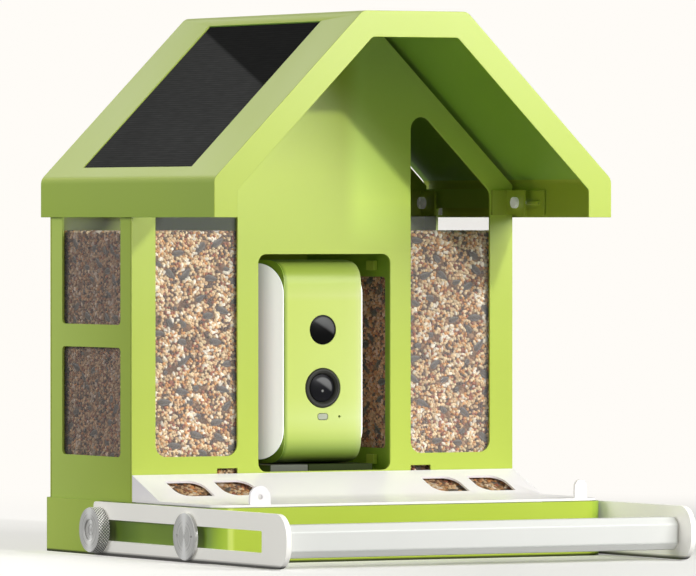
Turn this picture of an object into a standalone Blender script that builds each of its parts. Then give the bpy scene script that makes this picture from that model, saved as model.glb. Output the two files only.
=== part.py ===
"""Smart bird feeder: a sheet-metal house with two seed hoppers, a camera and a sliding perch.

Metres, +Z up. The front looks along -Y and +X is on the right of the front view. The origin lies on
the ground, under the middle of the front panel's face.
"""

import math

import bmesh
import bpy
from mathutils import Matrix, Vector

# Clearances, sheet and fineness
GAP = 0.0003
OVERRUN = 0.004
SHEET = 0.0015
ARC_STEPS = 7
ROUND_SIDES = 32
MERGE_DISTANCE = 0.00001
SHARP_ANGLE = math.radians(35)
PARALLEL_LIMIT = 0.5

# House body
BODY_WIDTH = 0.2686
BODY_DEPTH = 0.1115
ROOF_PITCH = math.radians(45)
GABLE_CLEARANCE = 0.0035

# Roof
EAVE_HEIGHT = 0.208
FASCIA_HEIGHT = 0.0235
RIDGE_WIDTH = 0.0724
ROOF_FRONT_OVERHANG = 0.1155
ROOF_REAR_OVERHANG = 0.006
ROOF_RIM_WIDTH = 0.016
ROOF_BEND_RADIUS = 0.007
RIM_CORNER_RADIUS = 0.003
KEEPER_THICKNESS = 0.0011
ROOF_RUNNING_GAP = 0.0008

# Solar panel on the left slope
SOLAR_LENGTH = 0.145
SOLAR_WIDTH = 0.125
SOLAR_THICKNESS = 0.0025
SOLAR_RECESS = 0.0006
SOLAR_TOP_MARGIN = 0.0082
SOLAR_REAR_MARGIN = 0.044
SOLAR_FRAME_LAP = 0.006
SOLAR_BACKING_THICKNESS = 0.0015

# Openings in the front and side panels
SEED_WINDOW_WIDTH = 0.0569
SEED_WINDOW_SIDE_MARGIN = 0.0163
SEED_WINDOW_ABOVE_BASE = 0.0275
SEED_WINDOW_SLOPE_MARGIN = 0.0142
SEED_WINDOW_RADIUS = 0.0075
CAMERA_WINDOW_WIDTH = 0.0932
CAMERA_WINDOW_HEIGHT = 0.1344
CAMERA_WINDOW_ABOVE_BASE = 0.0174
CAMERA_WINDOW_RADIUS = 0.0055
FEED_SLOT_WIDTH = 0.0142
FEED_SLOT_RISE = 0.0031
SIDE_WINDOW_FRONT_MARGIN = 0.0154
SIDE_WINDOW_REAR_MARGIN = 0.0165
SIDE_WINDOW_ABOVE_BASE = 0.0273
SIDE_WINDOW_HEIGHT = 0.0671
SIDE_WINDOW_BAR = 0.0141
SIDE_UPPER_WINDOW_HEIGHT = 0.072
SIDE_WINDOW_RADIUS = 0.003
SIDE_PANEL_TOP_ABOVE_EAVE = 0.018

# Base tray
BASE_HEIGHT = 0.0335
BASE_WALL = 0.0015
BASE_FLOOR = 0.002
BASE_NEST_CLEARANCE = 0.0012
BASE_FRONT_REACH = 0.112
BASE_REAR_LEDGE = 0.006
BASE_FRONT_RADIUS = 0.014
BASE_REAR_RADIUS = 0.0085

# Floor plate, dividers and camera bay
FLOOR_PLATE_ABOVE_BASE = 0.0025
DIVIDER_OFFSET = 0.0006
DIVIDER_WINDOW_FRONT_MARGIN = 0.0061
DIVIDER_WINDOW_REAR_MARGIN = 0.012
DIVIDER_WINDOW_ABOVE_BASE = 0.0305
DIVIDER_WINDOW_HEIGHT = 0.107
DIVIDER_WINDOW_RADIUS = 0.003
BAY_FLOOR_DROP = 0.0023
BAY_CEILING_RISE = 0.005
CLIP_SIZE = (0.0026, 0.010, 0.006)
CLIP_FRONT_MARGIN = 0.0155
CLIP_WINDOW_MARGIN = 0.004
CAMERA_PAD_LEFT = 0.036
CAMERA_PAD_SPLIT = 0.0094
CAMERA_PAD_DEPTH = 0.040
CAMERA_PAD_FRONT = 0.004

# Seed hoppers and the seed in them
HOPPER_WALL = 0.0015
HOPPER_CLEARANCE = 0.0005
HOPPER_TOP_ABOVE_EAVE = 0.0006
SEED_HEADROOM = 0.0086

# Tray cover
TRAY_SLOPE_RUN = 0.037
TRAY_RISE_ABOVE_BASE = 0.0169
TRAY_THICKNESS = 0.0015
TRAY_INSET = 0.0015
TRAY_CHEEK = 0.0018
LEAF_WIDTH = 0.0238
LEAF_LENGTH = 0.0226
LEAF_CURVE_SIZE = (0.008, 0.010)
LEAF_PITCH = 0.033
LEAF_SHIFT = 0.0013
LEAF_PLACE_SHARE = 0.54
EAR_HEIGHT = 0.0115
EAR_THICKNESS = 0.002
EAR_SETBACK = 0.0012
LEFT_EAR_WIDTH = 0.014
LEFT_EAR_INSET = 0.0335
LEFT_EAR_HOLE_RADIUS = 0.0016
RIGHT_EAR_WIDTH = 0.0085
RIGHT_EAR_INSET = 0.017
EAR_NOTCH_SIZE = (0.005, 0.003)
EAR_NOTCH_GAP = 0.0015

# Seed trough under the cover
TROUGH_WALL = 0.0015
TROUGH_FRONT_GAP = 0.002
TROUGH_SIDE_GAP = 0.003
HEAP_DEPTH_UNDER_COVER = 0.0012
HEAP_SIDE_MARGIN = 0.007

# Perch
ARM_THICKNESS = 0.0033
ARM_HEIGHT = 0.0327
ARM_LIFT = 0.0005
ARM_REAR_END = 0.0395
ARM_REACH = 0.2115
ARM_NOSE_RADIUS = 0.0135
ARM_TAIL_RADIUS = 0.0025
SLOT_HEIGHT = 0.0131
SLOT_BOTTOM = 0.0095
SLOT_FRONT_WALL = 0.031
SLOT_REAR_WALL = 0.003
SLOT_CORNER_RADIUS = 0.001
RAIL_DEPTH = 0.016
RAIL_HEIGHT = 0.0199
RAIL_BOTTOM = 0.0065
RAIL_SETBACK = 0.0135
RAIL_CHAMFER = 0.0042

# Perch fasteners
THUMB_NUT_RADIUS = 0.0141
THUMB_NUT_THICKNESS = 0.0076
THUMB_NUT_EDGE = 0.0007
THUMB_NUT_RECESS_RADIUS = 0.0066
THUMB_NUT_RECESS_DEPTH = 0.0012
STUD_RADIUS = 0.003
STUD_HEAD_RADIUS = 0.006
STUD_HEAD_THICKNESS = 0.003
GUIDE_DISC_RADIUS = 0.0145
GUIDE_DISC_THICKNESS = 0.0024
GUIDE_DISC_EDGE = 0.0003
GUIDE_SCREW_SETBACK = 0.086
SPANNER_HOLE_RADIUS = 0.0009
SPANNER_HOLE_DEPTH = 0.0014
SPANNER_HOLE_PLACE_SHARE = 0.62
GUIDE_NUT_RADIUS = 0.0058
GUIDE_NUT_SIDES = 6
GUIDE_NUT_THICKNESS = 0.0045
GUIDE_SHANK_END = 0.001

# Roof locks at the front and pivots at the rear
BRACKET_HEIGHT = 0.0155
BRACKET_RISE = 0.0015
BRACKET_REACH = 0.0235
BRACKET_FOOT = 0.0117
BRACKET_SIDE_INSET = 0.0038
LOCK_SETBACK = 0.0146
LOCK_RADIUS = 0.002
LOCK_HEAD_RADIUS = 0.0035
LOCK_HEAD_THICKNESS = 0.0026
KEEPER_FRONT = 0.038
KEEPER_LENGTH = 0.033
KEEPER_BAR_SIZE = (0.0012, 0.015, 0.002)
KEEPER_BAR_FRONT = 0.005
PIVOT_INSET = 0.0075
PIVOT_RADIUS = 0.0025
PIVOT_HEAD_RADIUS = 0.0038
PIVOT_HEAD_THICKNESS = 0.0028
PIVOT_BRACKET_REACH = 0.0195
PIVOT_PLATE_LENGTH = 0.022

# Camera casing
CAMERA_WIDTH = 0.0562
CAMERA_HEIGHT = 0.1265
CAMERA_DEPTH = 0.062
CAMERA_LIFT = 0.0043
CAMERA_FACE_SETBACK = 0.0023
CAMERA_FRONT_CURVE_DEPTH = 0.034
CAMERA_FRONT_CURVE_HEIGHT = 0.019
CAMERA_REAR_RADIUS = 0.010
CAMERA_WALL = 0.002
CAMERA_COVER_THICKNESS = 0.0018
CAMERA_COVER_DEPTH = 0.046
CAMERA_COVER_CURVE_HEIGHT = 0.022
CAMERA_COVER_POWER = 3.6
CAMERA_SIDE_STEP = 0.0022
CAMERA_RIM = 0.0007
CAMERA_MOUTH_MARGIN = 0.018

# Camera optics and insides
LENS_HEIGHT = 0.047
LENS_RING_RADIUS = 0.0122
LENS_RING_BORE = 0.0088
LENS_RING_DEPTH = 0.006
LENS_RING_PROUD = 0.0008
LENS_BARREL_DEPTH = 0.016
LENS_BARREL_BORE = 0.0064
LENS_BARREL_SETBACK = 0.0015
LENS_GLASS_THICKNESS = 0.003
LENS_GLASS_CROWN = 0.0016
SENSOR_HEIGHT = 0.0831
SENSOR_RADIUS = 0.009
SENSOR_THICKNESS = 0.0035
SENSOR_CROWN = 0.0012
STATUS_HEIGHT = 0.0292
STATUS_SIZE = (0.007, 0.0037)
STATUS_THICKNESS = 0.003
MICROPHONE_OFFSET = 0.0117
MICROPHONE_RADIUS = 0.0008
BOARD_THICKNESS = 0.0016
BOARD_MARGIN = 0.003
BATTERY_DEPTH = 0.019
BATTERY_HEIGHT = 0.070
BATTERY_MARGIN = 0.004
BATTERY_RADIUS = 0.004

# Places worked out from the sizes above
BODY_HALF = BODY_WIDTH / 2
PANEL_BACK = SHEET
BODY_INNER_HALF = BODY_HALF - SHEET
BODY_INNER_FRONT = SHEET + GAP
BODY_INNER_REAR = BODY_DEPTH - SHEET - GAP
BASE_INNER_HALF = BODY_HALF + BASE_NEST_CLEARANCE
BASE_HALF = BASE_INNER_HALF + BASE_WALL
FLOOR_PLATE_HEIGHT = BASE_HEIGHT + FLOOR_PLATE_ABOVE_BASE
SEED_WINDOW_BOTTOM = BASE_HEIGHT + SEED_WINDOW_ABOVE_BASE
CAMERA_WINDOW_BOTTOM = BASE_HEIGHT + CAMERA_WINDOW_ABOVE_BASE
SIDE_WINDOW_BOTTOM = BASE_HEIGHT + SIDE_WINDOW_ABOVE_BASE
DIVIDER_WINDOW_BOTTOM = BASE_HEIGHT + DIVIDER_WINDOW_ABOVE_BASE
BASE_REAR = BODY_DEPTH + BASE_REAR_LEDGE
PANEL_BOTTOM = BASE_FLOOR + GAP
ROOF_INNER_HALF = BODY_HALF + ROOF_RUNNING_GAP + KEEPER_THICKNESS + GAP
ROOF_HALF = ROOF_INNER_HALF + SHEET
RIDGE_HALF = RIDGE_WIDTH / 2
FASCIA_TOP = EAVE_HEIGHT + FASCIA_HEIGHT
RIDGE_HEIGHT = FASCIA_TOP + (ROOF_HALF - RIDGE_HALF) * math.tan(ROOF_PITCH)
ROOF_REAR = BODY_DEPTH + ROOF_REAR_OVERHANG
GABLE_INSET = SHEET + GABLE_CLEARANCE
SEED_WINDOW_OUTER = BODY_HALF - SEED_WINDOW_SIDE_MARGIN
SEED_WINDOW_INNER = SEED_WINDOW_OUTER - SEED_WINDOW_WIDTH
SEED_WINDOW_MIDDLE = (SEED_WINDOW_OUTER + SEED_WINDOW_INNER) / 2
CAMERA_WINDOW_HALF = CAMERA_WINDOW_WIDTH / 2
CAMERA_WINDOW_TOP = CAMERA_WINDOW_BOTTOM + CAMERA_WINDOW_HEIGHT
TRAY_TOP = BASE_HEIGHT + TRAY_RISE_ABOVE_BASE
FEED_SLOT_TOP = TRAY_TOP + FEED_SLOT_RISE
FLOOR_PLATE_TOP = FLOOR_PLATE_HEIGHT + SHEET
FEED_SLOT_BOTTOM = FLOOR_PLATE_TOP + GAP + HOPPER_WALL + GAP
DIVIDER_FACE = CAMERA_WINDOW_HALF + DIVIDER_OFFSET
DIVIDER_BACK = DIVIDER_FACE + SHEET
DIVIDER_WINDOW_TOP = DIVIDER_WINDOW_BOTTOM + DIVIDER_WINDOW_HEIGHT
BAY_FLOOR_TOP = CAMERA_WINDOW_BOTTOM - BAY_FLOOR_DROP + SHEET
BAY_CEILING_BOTTOM = CAMERA_WINDOW_TOP + BAY_CEILING_RISE
HOPPER_INNER = DIVIDER_BACK + HOPPER_CLEARANCE
HOPPER_OUTER = BODY_INNER_HALF - HOPPER_CLEARANCE
HOPPER_FRONT = PANEL_BACK + HOPPER_CLEARANCE
HOPPER_REAR = BODY_DEPTH - SHEET - HOPPER_CLEARANCE
HOPPER_BOTTOM = FLOOR_PLATE_TOP + GAP
HOPPER_TOP = EAVE_HEIGHT + HOPPER_TOP_ABOVE_EAVE
TRAY_FLAT_BOTTOM = BASE_HEIGHT + GAP
TRAY_FLAT_TOP = TRAY_FLAT_BOTTOM + TRAY_THICKNESS
TRAY_FRONT = -BASE_FRONT_REACH + TRAY_INSET
TRAY_HALF = BODY_HALF
TRAY_ANGLE = math.atan2(TRAY_TOP - TRAY_FLAT_TOP, TRAY_SLOPE_RUN)
ARM_INNER = BASE_HALF + GAP
ARM_OUTER = ARM_INNER + ARM_THICKNESS
SLOT_MIDDLE = SLOT_BOTTOM + SLOT_HEIGHT / 2
HUB_RADIUS = SLOT_HEIGHT / 2 - GAP
SLOT_REAR = ARM_REAR_END - SLOT_REAR_WALL
SLOT_FRONT = -ARM_REACH + SLOT_FRONT_WALL
STUD_Y = SLOT_REAR - HUB_RADIUS - GAP
BRACKET_BOTTOM = EAVE_HEIGHT + BRACKET_RISE
BRACKET_MIDDLE = BRACKET_BOTTOM + BRACKET_HEIGHT / 2
BRACKET_OUTER = BODY_HALF - BRACKET_SIDE_INSET
BRACKET_INNER = BRACKET_OUTER - SHEET
KEEPER_OUTER = ROOF_INNER_HALF - GAP
KEEPER_INNER = KEEPER_OUTER - KEEPER_THICKNESS
PIVOT_Y = BODY_DEPTH - PIVOT_INSET
CAMERA_BOTTOM = CAMERA_WINDOW_BOTTOM + CAMERA_LIFT
CAMERA_HALF = CAMERA_WIDTH / 2
CAMERA_CAVITY_INSET = CAMERA_COVER_THICKNESS + GAP + CAMERA_WALL
LENS_Z = CAMERA_BOTTOM + LENS_HEIGHT
SENSOR_Z = CAMERA_BOTTOM + SENSOR_HEIGHT
STATUS_Z = CAMERA_BOTTOM + STATUS_HEIGHT
COVER_BACK = CAMERA_FACE_SETBACK + CAMERA_COVER_THICKNESS
CAMERA_INSIDE = CAMERA_FACE_SETBACK + CAMERA_CAVITY_INSET

SIDES = (("left", -1), ("right", 1))
FACING_FRONT = (math.pi / 2, 0, 0)
FACING_SIDE = (math.pi / 2, 0, math.pi / 2)
FACING_UP = (0, 0, 0)

parts = None
cutters = None


def clear_scene():
    """Remove whatever the scene holds."""
    for item in list(bpy.data.objects):
        bpy.data.objects.remove(item)


def new_collection(name):
    """Add a collection to the scene."""
    collection = bpy.data.collections.new(name)
    bpy.context.scene.collection.children.link(collection)
    return collection


def principled(name, color, roughness, metallic=0.0, alpha=1.0):
    """Make a Principled material."""
    material = bpy.data.materials.new(name)
    material.use_nodes = True
    shader = material.node_tree.nodes["Principled BSDF"]
    shader.inputs["Base Color"].default_value = (*color, 1.0)
    shader.inputs["Roughness"].default_value = roughness
    shader.inputs["Metallic"].default_value = metallic
    shader.inputs["Alpha"].default_value = alpha
    material.diffuse_color = (*color, alpha)
    return material


def green_paint():
    return principled("green_paint", (0.56, 0.75, 0.13), 0.45)


def white_plastic():
    return principled("white_plastic", (0.86, 0.86, 0.82), 0.35)


def ivory_plastic():
    return principled("ivory_plastic", (0.78, 0.76, 0.70), 0.4)


def grey_plastic():
    return principled("grey_plastic", (0.62, 0.63, 0.60), 0.5)


def clear_plastic():
    return principled("clear_plastic", (0.80, 0.83, 0.84), 0.08, alpha=0.3)


def black_plastic():
    return principled("black_plastic", (0.02, 0.02, 0.02), 0.4)


def black_glass():
    return principled("black_glass", (0.01, 0.01, 0.012), 0.06)


def solar_cells():
    return principled("solar_cells", (0.03, 0.03, 0.033), 0.3)


def turned_steel():
    return principled("turned_steel", (0.62, 0.61, 0.59), 0.28, metallic=1.0)


def seed_mix():
    return principled("seed_mix", (0.55, 0.38, 0.22), 0.8)


def circuit_green():
    return principled("circuit_green", (0.03, 0.18, 0.08), 0.5)


def battery_wrap():
    return principled("battery_wrap", (0.10, 0.14, 0.30), 0.4)


def place(name, mesh, material, location=(0, 0, 0), rotation=(0, 0, 0)):
    """Add an object to the parts, or to the cutters when it has no material."""
    item = bpy.data.objects.new(name, mesh)
    item.location = location
    item.rotation_euler = rotation
    if material is None:
        cutters.objects.link(item)
        item.hide_render = True
        item.display_type = "WIRE"
    else:
        mesh.materials.append(material)
        parts.objects.link(item)
    return item


def mesh_of(bm, name, smooth=False):
    """Turn a bmesh into a mesh, shaded smooth where the piece is round."""
    bmesh.ops.recalc_face_normals(bm, faces=bm.faces)
    mesh = bpy.data.meshes.new(name)
    bm.to_mesh(mesh)
    bm.free()
    if smooth:
        mesh.shade_smooth()
        mesh.set_sharp_from_angle(angle=SHARP_ANGLE)
    return mesh


def box(name, low, high, material=None, radius=0, along=None):
    """A box between two corners, with the edges that run along one axis rounded."""
    low, high = Vector(low), Vector(high)
    bm = bmesh.new()
    bmesh.ops.create_cube(bm, size=1)
    bmesh.ops.scale(bm, vec=high - low, verts=bm.verts)
    if radius:
        axis = Vector(along)
        edges = [
            edge
            for edge in bm.edges
            if abs((edge.verts[0].co - edge.verts[1].co).normalized().dot(axis)) > PARALLEL_LIMIT
        ]
        bmesh.ops.bevel(bm, geom=edges, offset=radius, segments=ARC_STEPS, affect="EDGES")
    return place(name, mesh_of(bm, name), material, (low + high) / 2)


def slab(name, size, location, rotation, material=None):
    """A box of a given size, placed by its middle and turned."""
    bm = bmesh.new()
    bmesh.ops.create_cube(bm, size=1)
    bmesh.ops.scale(bm, vec=size, verts=bm.verts)
    return place(name, mesh_of(bm, name), material, location, rotation)


def cylinder(name, radius, start, end, material=None, sides=ROUND_SIDES):
    """A round bar between two points."""
    start, end = Vector(start), Vector(end)
    bm = bmesh.new()
    bmesh.ops.create_cone(
        bm, cap_ends=True, segments=sides, radius1=radius, radius2=radius, depth=(end - start).length
    )
    turn = (end - start).to_track_quat("Z", "Y").to_euler()
    return place(name, mesh_of(bm, name, smooth=True), material, (start + end) / 2, turn)


def turned(name, profile, location, direction, material, closed=False, sides=ROUND_SIDES):
    """A turned piece: its profile of radius and height is swept round an axis."""
    count = len(profile)
    edges = [(i, i + 1) for i in range(count - 1)]
    if closed:
        edges.append((count - 1, 0))
    mesh = bpy.data.meshes.new(name)
    mesh.from_pydata([(radius, 0, height) for radius, height in profile], edges, [])
    turn = Vector(direction).to_track_quat("Z", "Y").to_euler()
    item = place(name, mesh, material, location, turn)
    screw = item.modifiers.new("turn", "SCREW")
    screw.axis = "Z"
    screw.angle = math.tau
    screw.screw_offset = 0
    screw.steps = sides
    screw.render_steps = sides
    screw.use_merge_vertices = True
    screw.merge_threshold = MERGE_DISTANCE
    screw.use_smooth_shade = True
    return item


def plate(name, outlines, thickness, location, rotation, material=None):
    """A flat piece from its outline, with any further outlines as holes in it."""
    curve = bpy.data.curves.new(name, "CURVE")
    curve.dimensions = "2D"
    curve.fill_mode = "BOTH"
    curve.extrude = thickness / 2
    for outline in outlines:
        spline = curve.splines.new("POLY")
        spline.points.add(len(outline) - 1)
        spline.use_cyclic_u = True
        for point, (across, up) in zip(spline.points, outline):
            point.co = (across, up, 0, 1)
    source = bpy.data.objects.new(name + "_outline", curve)
    parts.objects.link(source)
    bpy.context.view_layer.update()
    mesh = bpy.data.meshes.new_from_object(source.evaluated_get(bpy.context.evaluated_depsgraph_get()))
    bpy.data.objects.remove(source)
    bm = bmesh.new()
    bm.from_mesh(mesh)
    bmesh.ops.remove_doubles(bm, verts=bm.verts, dist=MERGE_DISTANCE)
    bpy.data.meshes.remove(mesh)
    return place(name, mesh_of(bm, name), material, location, rotation)


def combine(item, other, operation, solver="EXACT"):
    """Cut, join or intersect one object with another."""
    modifier = item.modifiers.new(other.name, "BOOLEAN")
    modifier.operation = operation
    modifier.solver = solver
    modifier.object = other
    return item


def cut(item, cutter, solver="EXACT"):
    return combine(item, cutter, "DIFFERENCE", solver)


def join(item, other):
    return combine(item, other, "UNION")


def keep_inside(item, limit):
    return combine(item, limit, "INTERSECT")


def carry(name, location, pieces):
    """Hang moving pieces, and the cutters that shape them, on an empty at their joint."""
    empty = bpy.data.objects.new(name, None)
    empty.location = location
    parts.objects.link(empty)
    members = [parts.objects[piece] for piece in pieces]
    for item in members:
        members.extend(modifier.object for modifier in item.modifiers if modifier.type == "BOOLEAN")
        item.parent = empty
        item.matrix_parent_inverse = Matrix.Translation(-empty.location)


def arc(middle, radii, start, end, steps=ARC_STEPS):
    """Points along an ellipse's arc, from one angle to another."""
    return [
        (
            middle[0] + radii[0] * math.cos(start + (end - start) * i / steps),
            middle[1] + radii[1] * math.sin(start + (end - start) * i / steps),
        )
        for i in range(steps + 1)
    ]


def circle(middle, radius, steps=ROUND_SIDES):
    """A circle's points."""
    return arc(middle, (radius, radius), 0, math.tau, steps)[:-1]


def rounded(corners, radius):
    """Round every corner of an outline. A radius may be given for each corner."""
    radii = radius if isinstance(radius, (list, tuple)) else [radius] * len(corners)
    points = []
    for i, corner in enumerate(corners):
        if radii[i] == 0:
            points.append(corner)
            continue
        here = Vector(corner)
        back = (Vector(corners[i - 1]) - here).normalized()
        ahead = (Vector(corners[(i + 1) % len(corners)]) - here).normalized()
        half = back.angle(ahead) / 2
        middle = here + (back + ahead).normalized() * radii[i] / math.sin(half)
        first = here + back * radii[i] / math.tan(half) - middle
        last = here + ahead * radii[i] / math.tan(half) - middle
        start = math.atan2(first.y, first.x)
        sweep = (math.atan2(last.y, last.x) - start + math.pi) % math.tau - math.pi
        points.extend(arc(middle, (radii[i], radii[i]), start, start + sweep))
    return points


def rectangle(left, right, bottom, top, radius=0):
    """A rectangle's outline with equal round corners."""
    corners = [(left, bottom), (right, bottom), (right, top), (left, top)]
    return rounded(corners, radius)


def span(side, inner, outer):
    """The low and high X of a stretch that is measured outwards from the middle."""
    return sorted((side * inner, side * outer))


def mirrored(outline, side):
    """An outline for the left or the right half."""
    return [(side * across, up) for across, up in outline]


def roof_corners(inset, bottom):
    """The roof's cross-section, moved inwards by an inset."""
    half = ROOF_HALF - inset
    shift = inset * math.tan(ROOF_PITCH / 2)
    top = RIDGE_HEIGHT - inset
    return [
        (-half, bottom),
        (half, bottom),
        (half, FASCIA_TOP - shift),
        (RIDGE_HALF - shift, top),
        (-RIDGE_HALF + shift, top),
        (-half, FASCIA_TOP - shift),
    ]


def roof_outline(inset, bottom, radius):
    """The roof's cross-section with round bends and square feet."""
    return rounded(roof_corners(inset, bottom), [0, 0, radius, radius, radius, radius])


def gable_outline():
    """A gable panel's outline: the body's width, cut off along the roof's underside."""
    corners = roof_corners(GABLE_INSET, PANEL_BOTTOM)
    shoulder = corners[3][1] - (BODY_HALF - corners[3][0]) * math.tan(ROOF_PITCH)
    return [
        (-BODY_HALF, PANEL_BOTTOM),
        (BODY_HALF, PANEL_BOTTOM),
        (BODY_HALF, shoulder),
        corners[3],
        corners[4],
        (-BODY_HALF, shoulder),
    ]


def seed_window(side):
    """The tall window with one slanted edge."""
    top_corner = gable_outline()[3]
    slope = math.tan(ROOF_PITCH)
    drop = SEED_WINDOW_SLOPE_MARGIN / math.cos(ROOF_PITCH)

    def slanted_edge(across):
        return top_corner[1] - (across - top_corner[0]) * slope - drop

    corners = [
        (SEED_WINDOW_INNER, SEED_WINDOW_BOTTOM),
        (SEED_WINDOW_OUTER, SEED_WINDOW_BOTTOM),
        (SEED_WINDOW_OUTER, slanted_edge(SEED_WINDOW_OUTER)),
        (SEED_WINDOW_INNER, slanted_edge(SEED_WINDOW_INNER)),
    ]
    return mirrored(rounded(corners, SEED_WINDOW_RADIUS), side)


def feed_slot(side):
    """The slot that seed runs through, at the seed window's inner edge."""
    low, high = span(side, SEED_WINDOW_INNER, SEED_WINDOW_INNER + FEED_SLOT_WIDTH)
    return rectangle(low, high, FEED_SLOT_BOTTOM, FEED_SLOT_TOP)


def nesting_radius():
    """The base's largest inner rear radius that still clears the body's square corner."""
    side_room = BASE_NEST_CLEARANCE
    rear_room = BASE_REAR_LEDGE - BASE_WALL
    reach = side_room + rear_room - GAP
    return reach + math.sqrt(reach**2 - side_room**2 - rear_room**2 + GAP**2)


def base_outline(inset):
    """The base tray's plan, moved inwards by an inset."""
    half = BASE_HALF - inset
    front, rear = -BASE_FRONT_REACH + inset, BASE_REAR - inset
    front_radius = BASE_FRONT_RADIUS - inset
    rear_radius = min(BASE_REAR_RADIUS, nesting_radius() + BASE_WALL) - inset
    corners = [(-half, front), (half, front), (half, rear), (-half, rear)]
    return rounded(corners, [front_radius, front_radius, rear_radius, rear_radius])


def build_base(green):
    """The open base tray, with the holes for the perch's fasteners."""
    middle = (0, 0, BASE_HEIGHT / 2)
    base = plate("base_tray", [base_outline(0)], BASE_HEIGHT, middle, FACING_UP, green)
    depth = BASE_HEIGHT - BASE_FLOOR + OVERRUN
    location = (0, 0, BASE_FLOOR + depth / 2)
    cut(base, plate("base_inside", [base_outline(BASE_WALL)], depth, location, FACING_UP))
    for name, side in SIDES:
        for place_name, y in (("stud", STUD_Y), ("guide", -GUIDE_SCREW_SETBACK)):
            hole = cylinder(
                f"{name}_{place_name}_hole",
                STUD_RADIUS + GAP,
                (side * (BASE_INNER_HALF - OVERRUN), y, SLOT_MIDDLE),
                (side * (BASE_HALF + OVERRUN), y, SLOT_MIDDLE),
            )
            cut(base, hole)


def build_gables(green):
    """The front panel with its openings, and the plain back panel."""
    openings = [
        rectangle(
            -CAMERA_WINDOW_HALF,
            CAMERA_WINDOW_HALF,
            CAMERA_WINDOW_BOTTOM,
            CAMERA_WINDOW_TOP,
            CAMERA_WINDOW_RADIUS,
        )
    ]
    for _, side in SIDES:
        openings.append(seed_window(side))
        openings.append(feed_slot(side))
    plate("front_panel", [gable_outline()] + openings, SHEET, (0, SHEET / 2, 0), FACING_FRONT, green)
    back = BODY_DEPTH - SHEET / 2
    plate("back_panel", [gable_outline()], SHEET, (0, back, 0), FACING_FRONT, green)


def build_side_panels(green):
    """The side panels, each with two windows and holes for the roof's pivot pin and the stud."""
    front = SIDE_WINDOW_FRONT_MARGIN
    rear = BODY_DEPTH - SIDE_WINDOW_REAR_MARGIN
    lower_top = SIDE_WINDOW_BOTTOM + SIDE_WINDOW_HEIGHT
    upper_bottom = lower_top + SIDE_WINDOW_BAR
    upper_top = upper_bottom + SIDE_UPPER_WINDOW_HEIGHT
    outline = rectangle(
        BODY_INNER_FRONT, BODY_INNER_REAR, PANEL_BOTTOM, EAVE_HEIGHT + SIDE_PANEL_TOP_ABOVE_EAVE
    )
    lower = rectangle(front, rear, SIDE_WINDOW_BOTTOM, lower_top, SIDE_WINDOW_RADIUS)
    upper = rectangle(front, rear, upper_bottom, upper_top, SIDE_WINDOW_RADIUS)
    pivot_hole = circle((PIVOT_Y, BRACKET_MIDDLE), PIVOT_RADIUS + GAP)
    stud_hole = circle((STUD_Y, SLOT_MIDDLE), STUD_RADIUS + GAP)
    outlines = [outline, lower, upper, pivot_hole, stud_hole]
    for name, side in SIDES:
        location = (side * (BODY_HALF - SHEET / 2), 0, 0)
        plate(f"{name}_side_panel", outlines, SHEET, location, FACING_SIDE, green)


def build_bay(green, grey):
    """The floor plate, and the camera bay between the two hoppers."""
    floor_half = BODY_INNER_HALF - GAP
    box(
        "floor_plate",
        (-floor_half, BODY_INNER_FRONT, FLOOR_PLATE_HEIGHT),
        (floor_half, BODY_INNER_REAR, FLOOR_PLATE_TOP),
        green,
    )
    outline = rectangle(BODY_INNER_FRONT, BODY_INNER_REAR, FLOOR_PLATE_TOP + GAP, BAY_CEILING_BOTTOM - GAP)
    window = rectangle(
        BODY_INNER_FRONT + DIVIDER_WINDOW_FRONT_MARGIN,
        BODY_INNER_REAR - DIVIDER_WINDOW_REAR_MARGIN,
        DIVIDER_WINDOW_BOTTOM,
        DIVIDER_WINDOW_TOP,
        DIVIDER_WINDOW_RADIUS,
    )
    for name, side in SIDES:
        location = (side * (DIVIDER_FACE + SHEET / 2), 0, 0)
        plate(f"{name}_divider", [outline, window], SHEET, location, FACING_SIDE, green)
        add_clips(name, side, green)
    bay_half = DIVIDER_FACE - GAP
    box(
        "bay_floor",
        (-bay_half, BODY_INNER_FRONT, BAY_FLOOR_TOP - SHEET),
        (bay_half, BODY_INNER_REAR, BAY_FLOOR_TOP),
        green,
    )
    box(
        "bay_ceiling",
        (-DIVIDER_BACK, BODY_INNER_FRONT, BAY_CEILING_BOTTOM),
        (DIVIDER_BACK, BODY_INNER_REAR, BAY_CEILING_BOTTOM + SHEET),
        green,
    )
    pad_rear = CAMERA_PAD_FRONT + CAMERA_PAD_DEPTH
    low, high = BAY_FLOOR_TOP + GAP, CAMERA_BOTTOM - GAP
    box(
        "camera_pad",
        (-CAMERA_PAD_LEFT, CAMERA_PAD_FRONT, low),
        (-CAMERA_PAD_SPLIT - GAP / 2, pad_rear, high),
        grey,
    )
    box(
        "camera_shelf",
        (-CAMERA_PAD_SPLIT + GAP / 2, CAMERA_PAD_FRONT, low),
        (CAMERA_PAD_LEFT, pad_rear, high),
        green,
    )


def add_clips(name, side, green):
    """The small tabs above and below a divider's window."""
    across, deep, tall = CLIP_SIZE
    low, high = span(side, DIVIDER_FACE - GAP - across, DIVIDER_FACE - GAP)
    front = BODY_INNER_FRONT + CLIP_FRONT_MARGIN
    top_start = DIVIDER_WINDOW_TOP + CLIP_WINDOW_MARGIN
    bottom_start = DIVIDER_WINDOW_BOTTOM - CLIP_WINDOW_MARGIN - tall
    for level, start in (("top", top_start), ("bottom", bottom_start)):
        box(f"{name}_{level}_clip", (low, front, start), (high, front + deep, start + tall), green)


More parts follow.
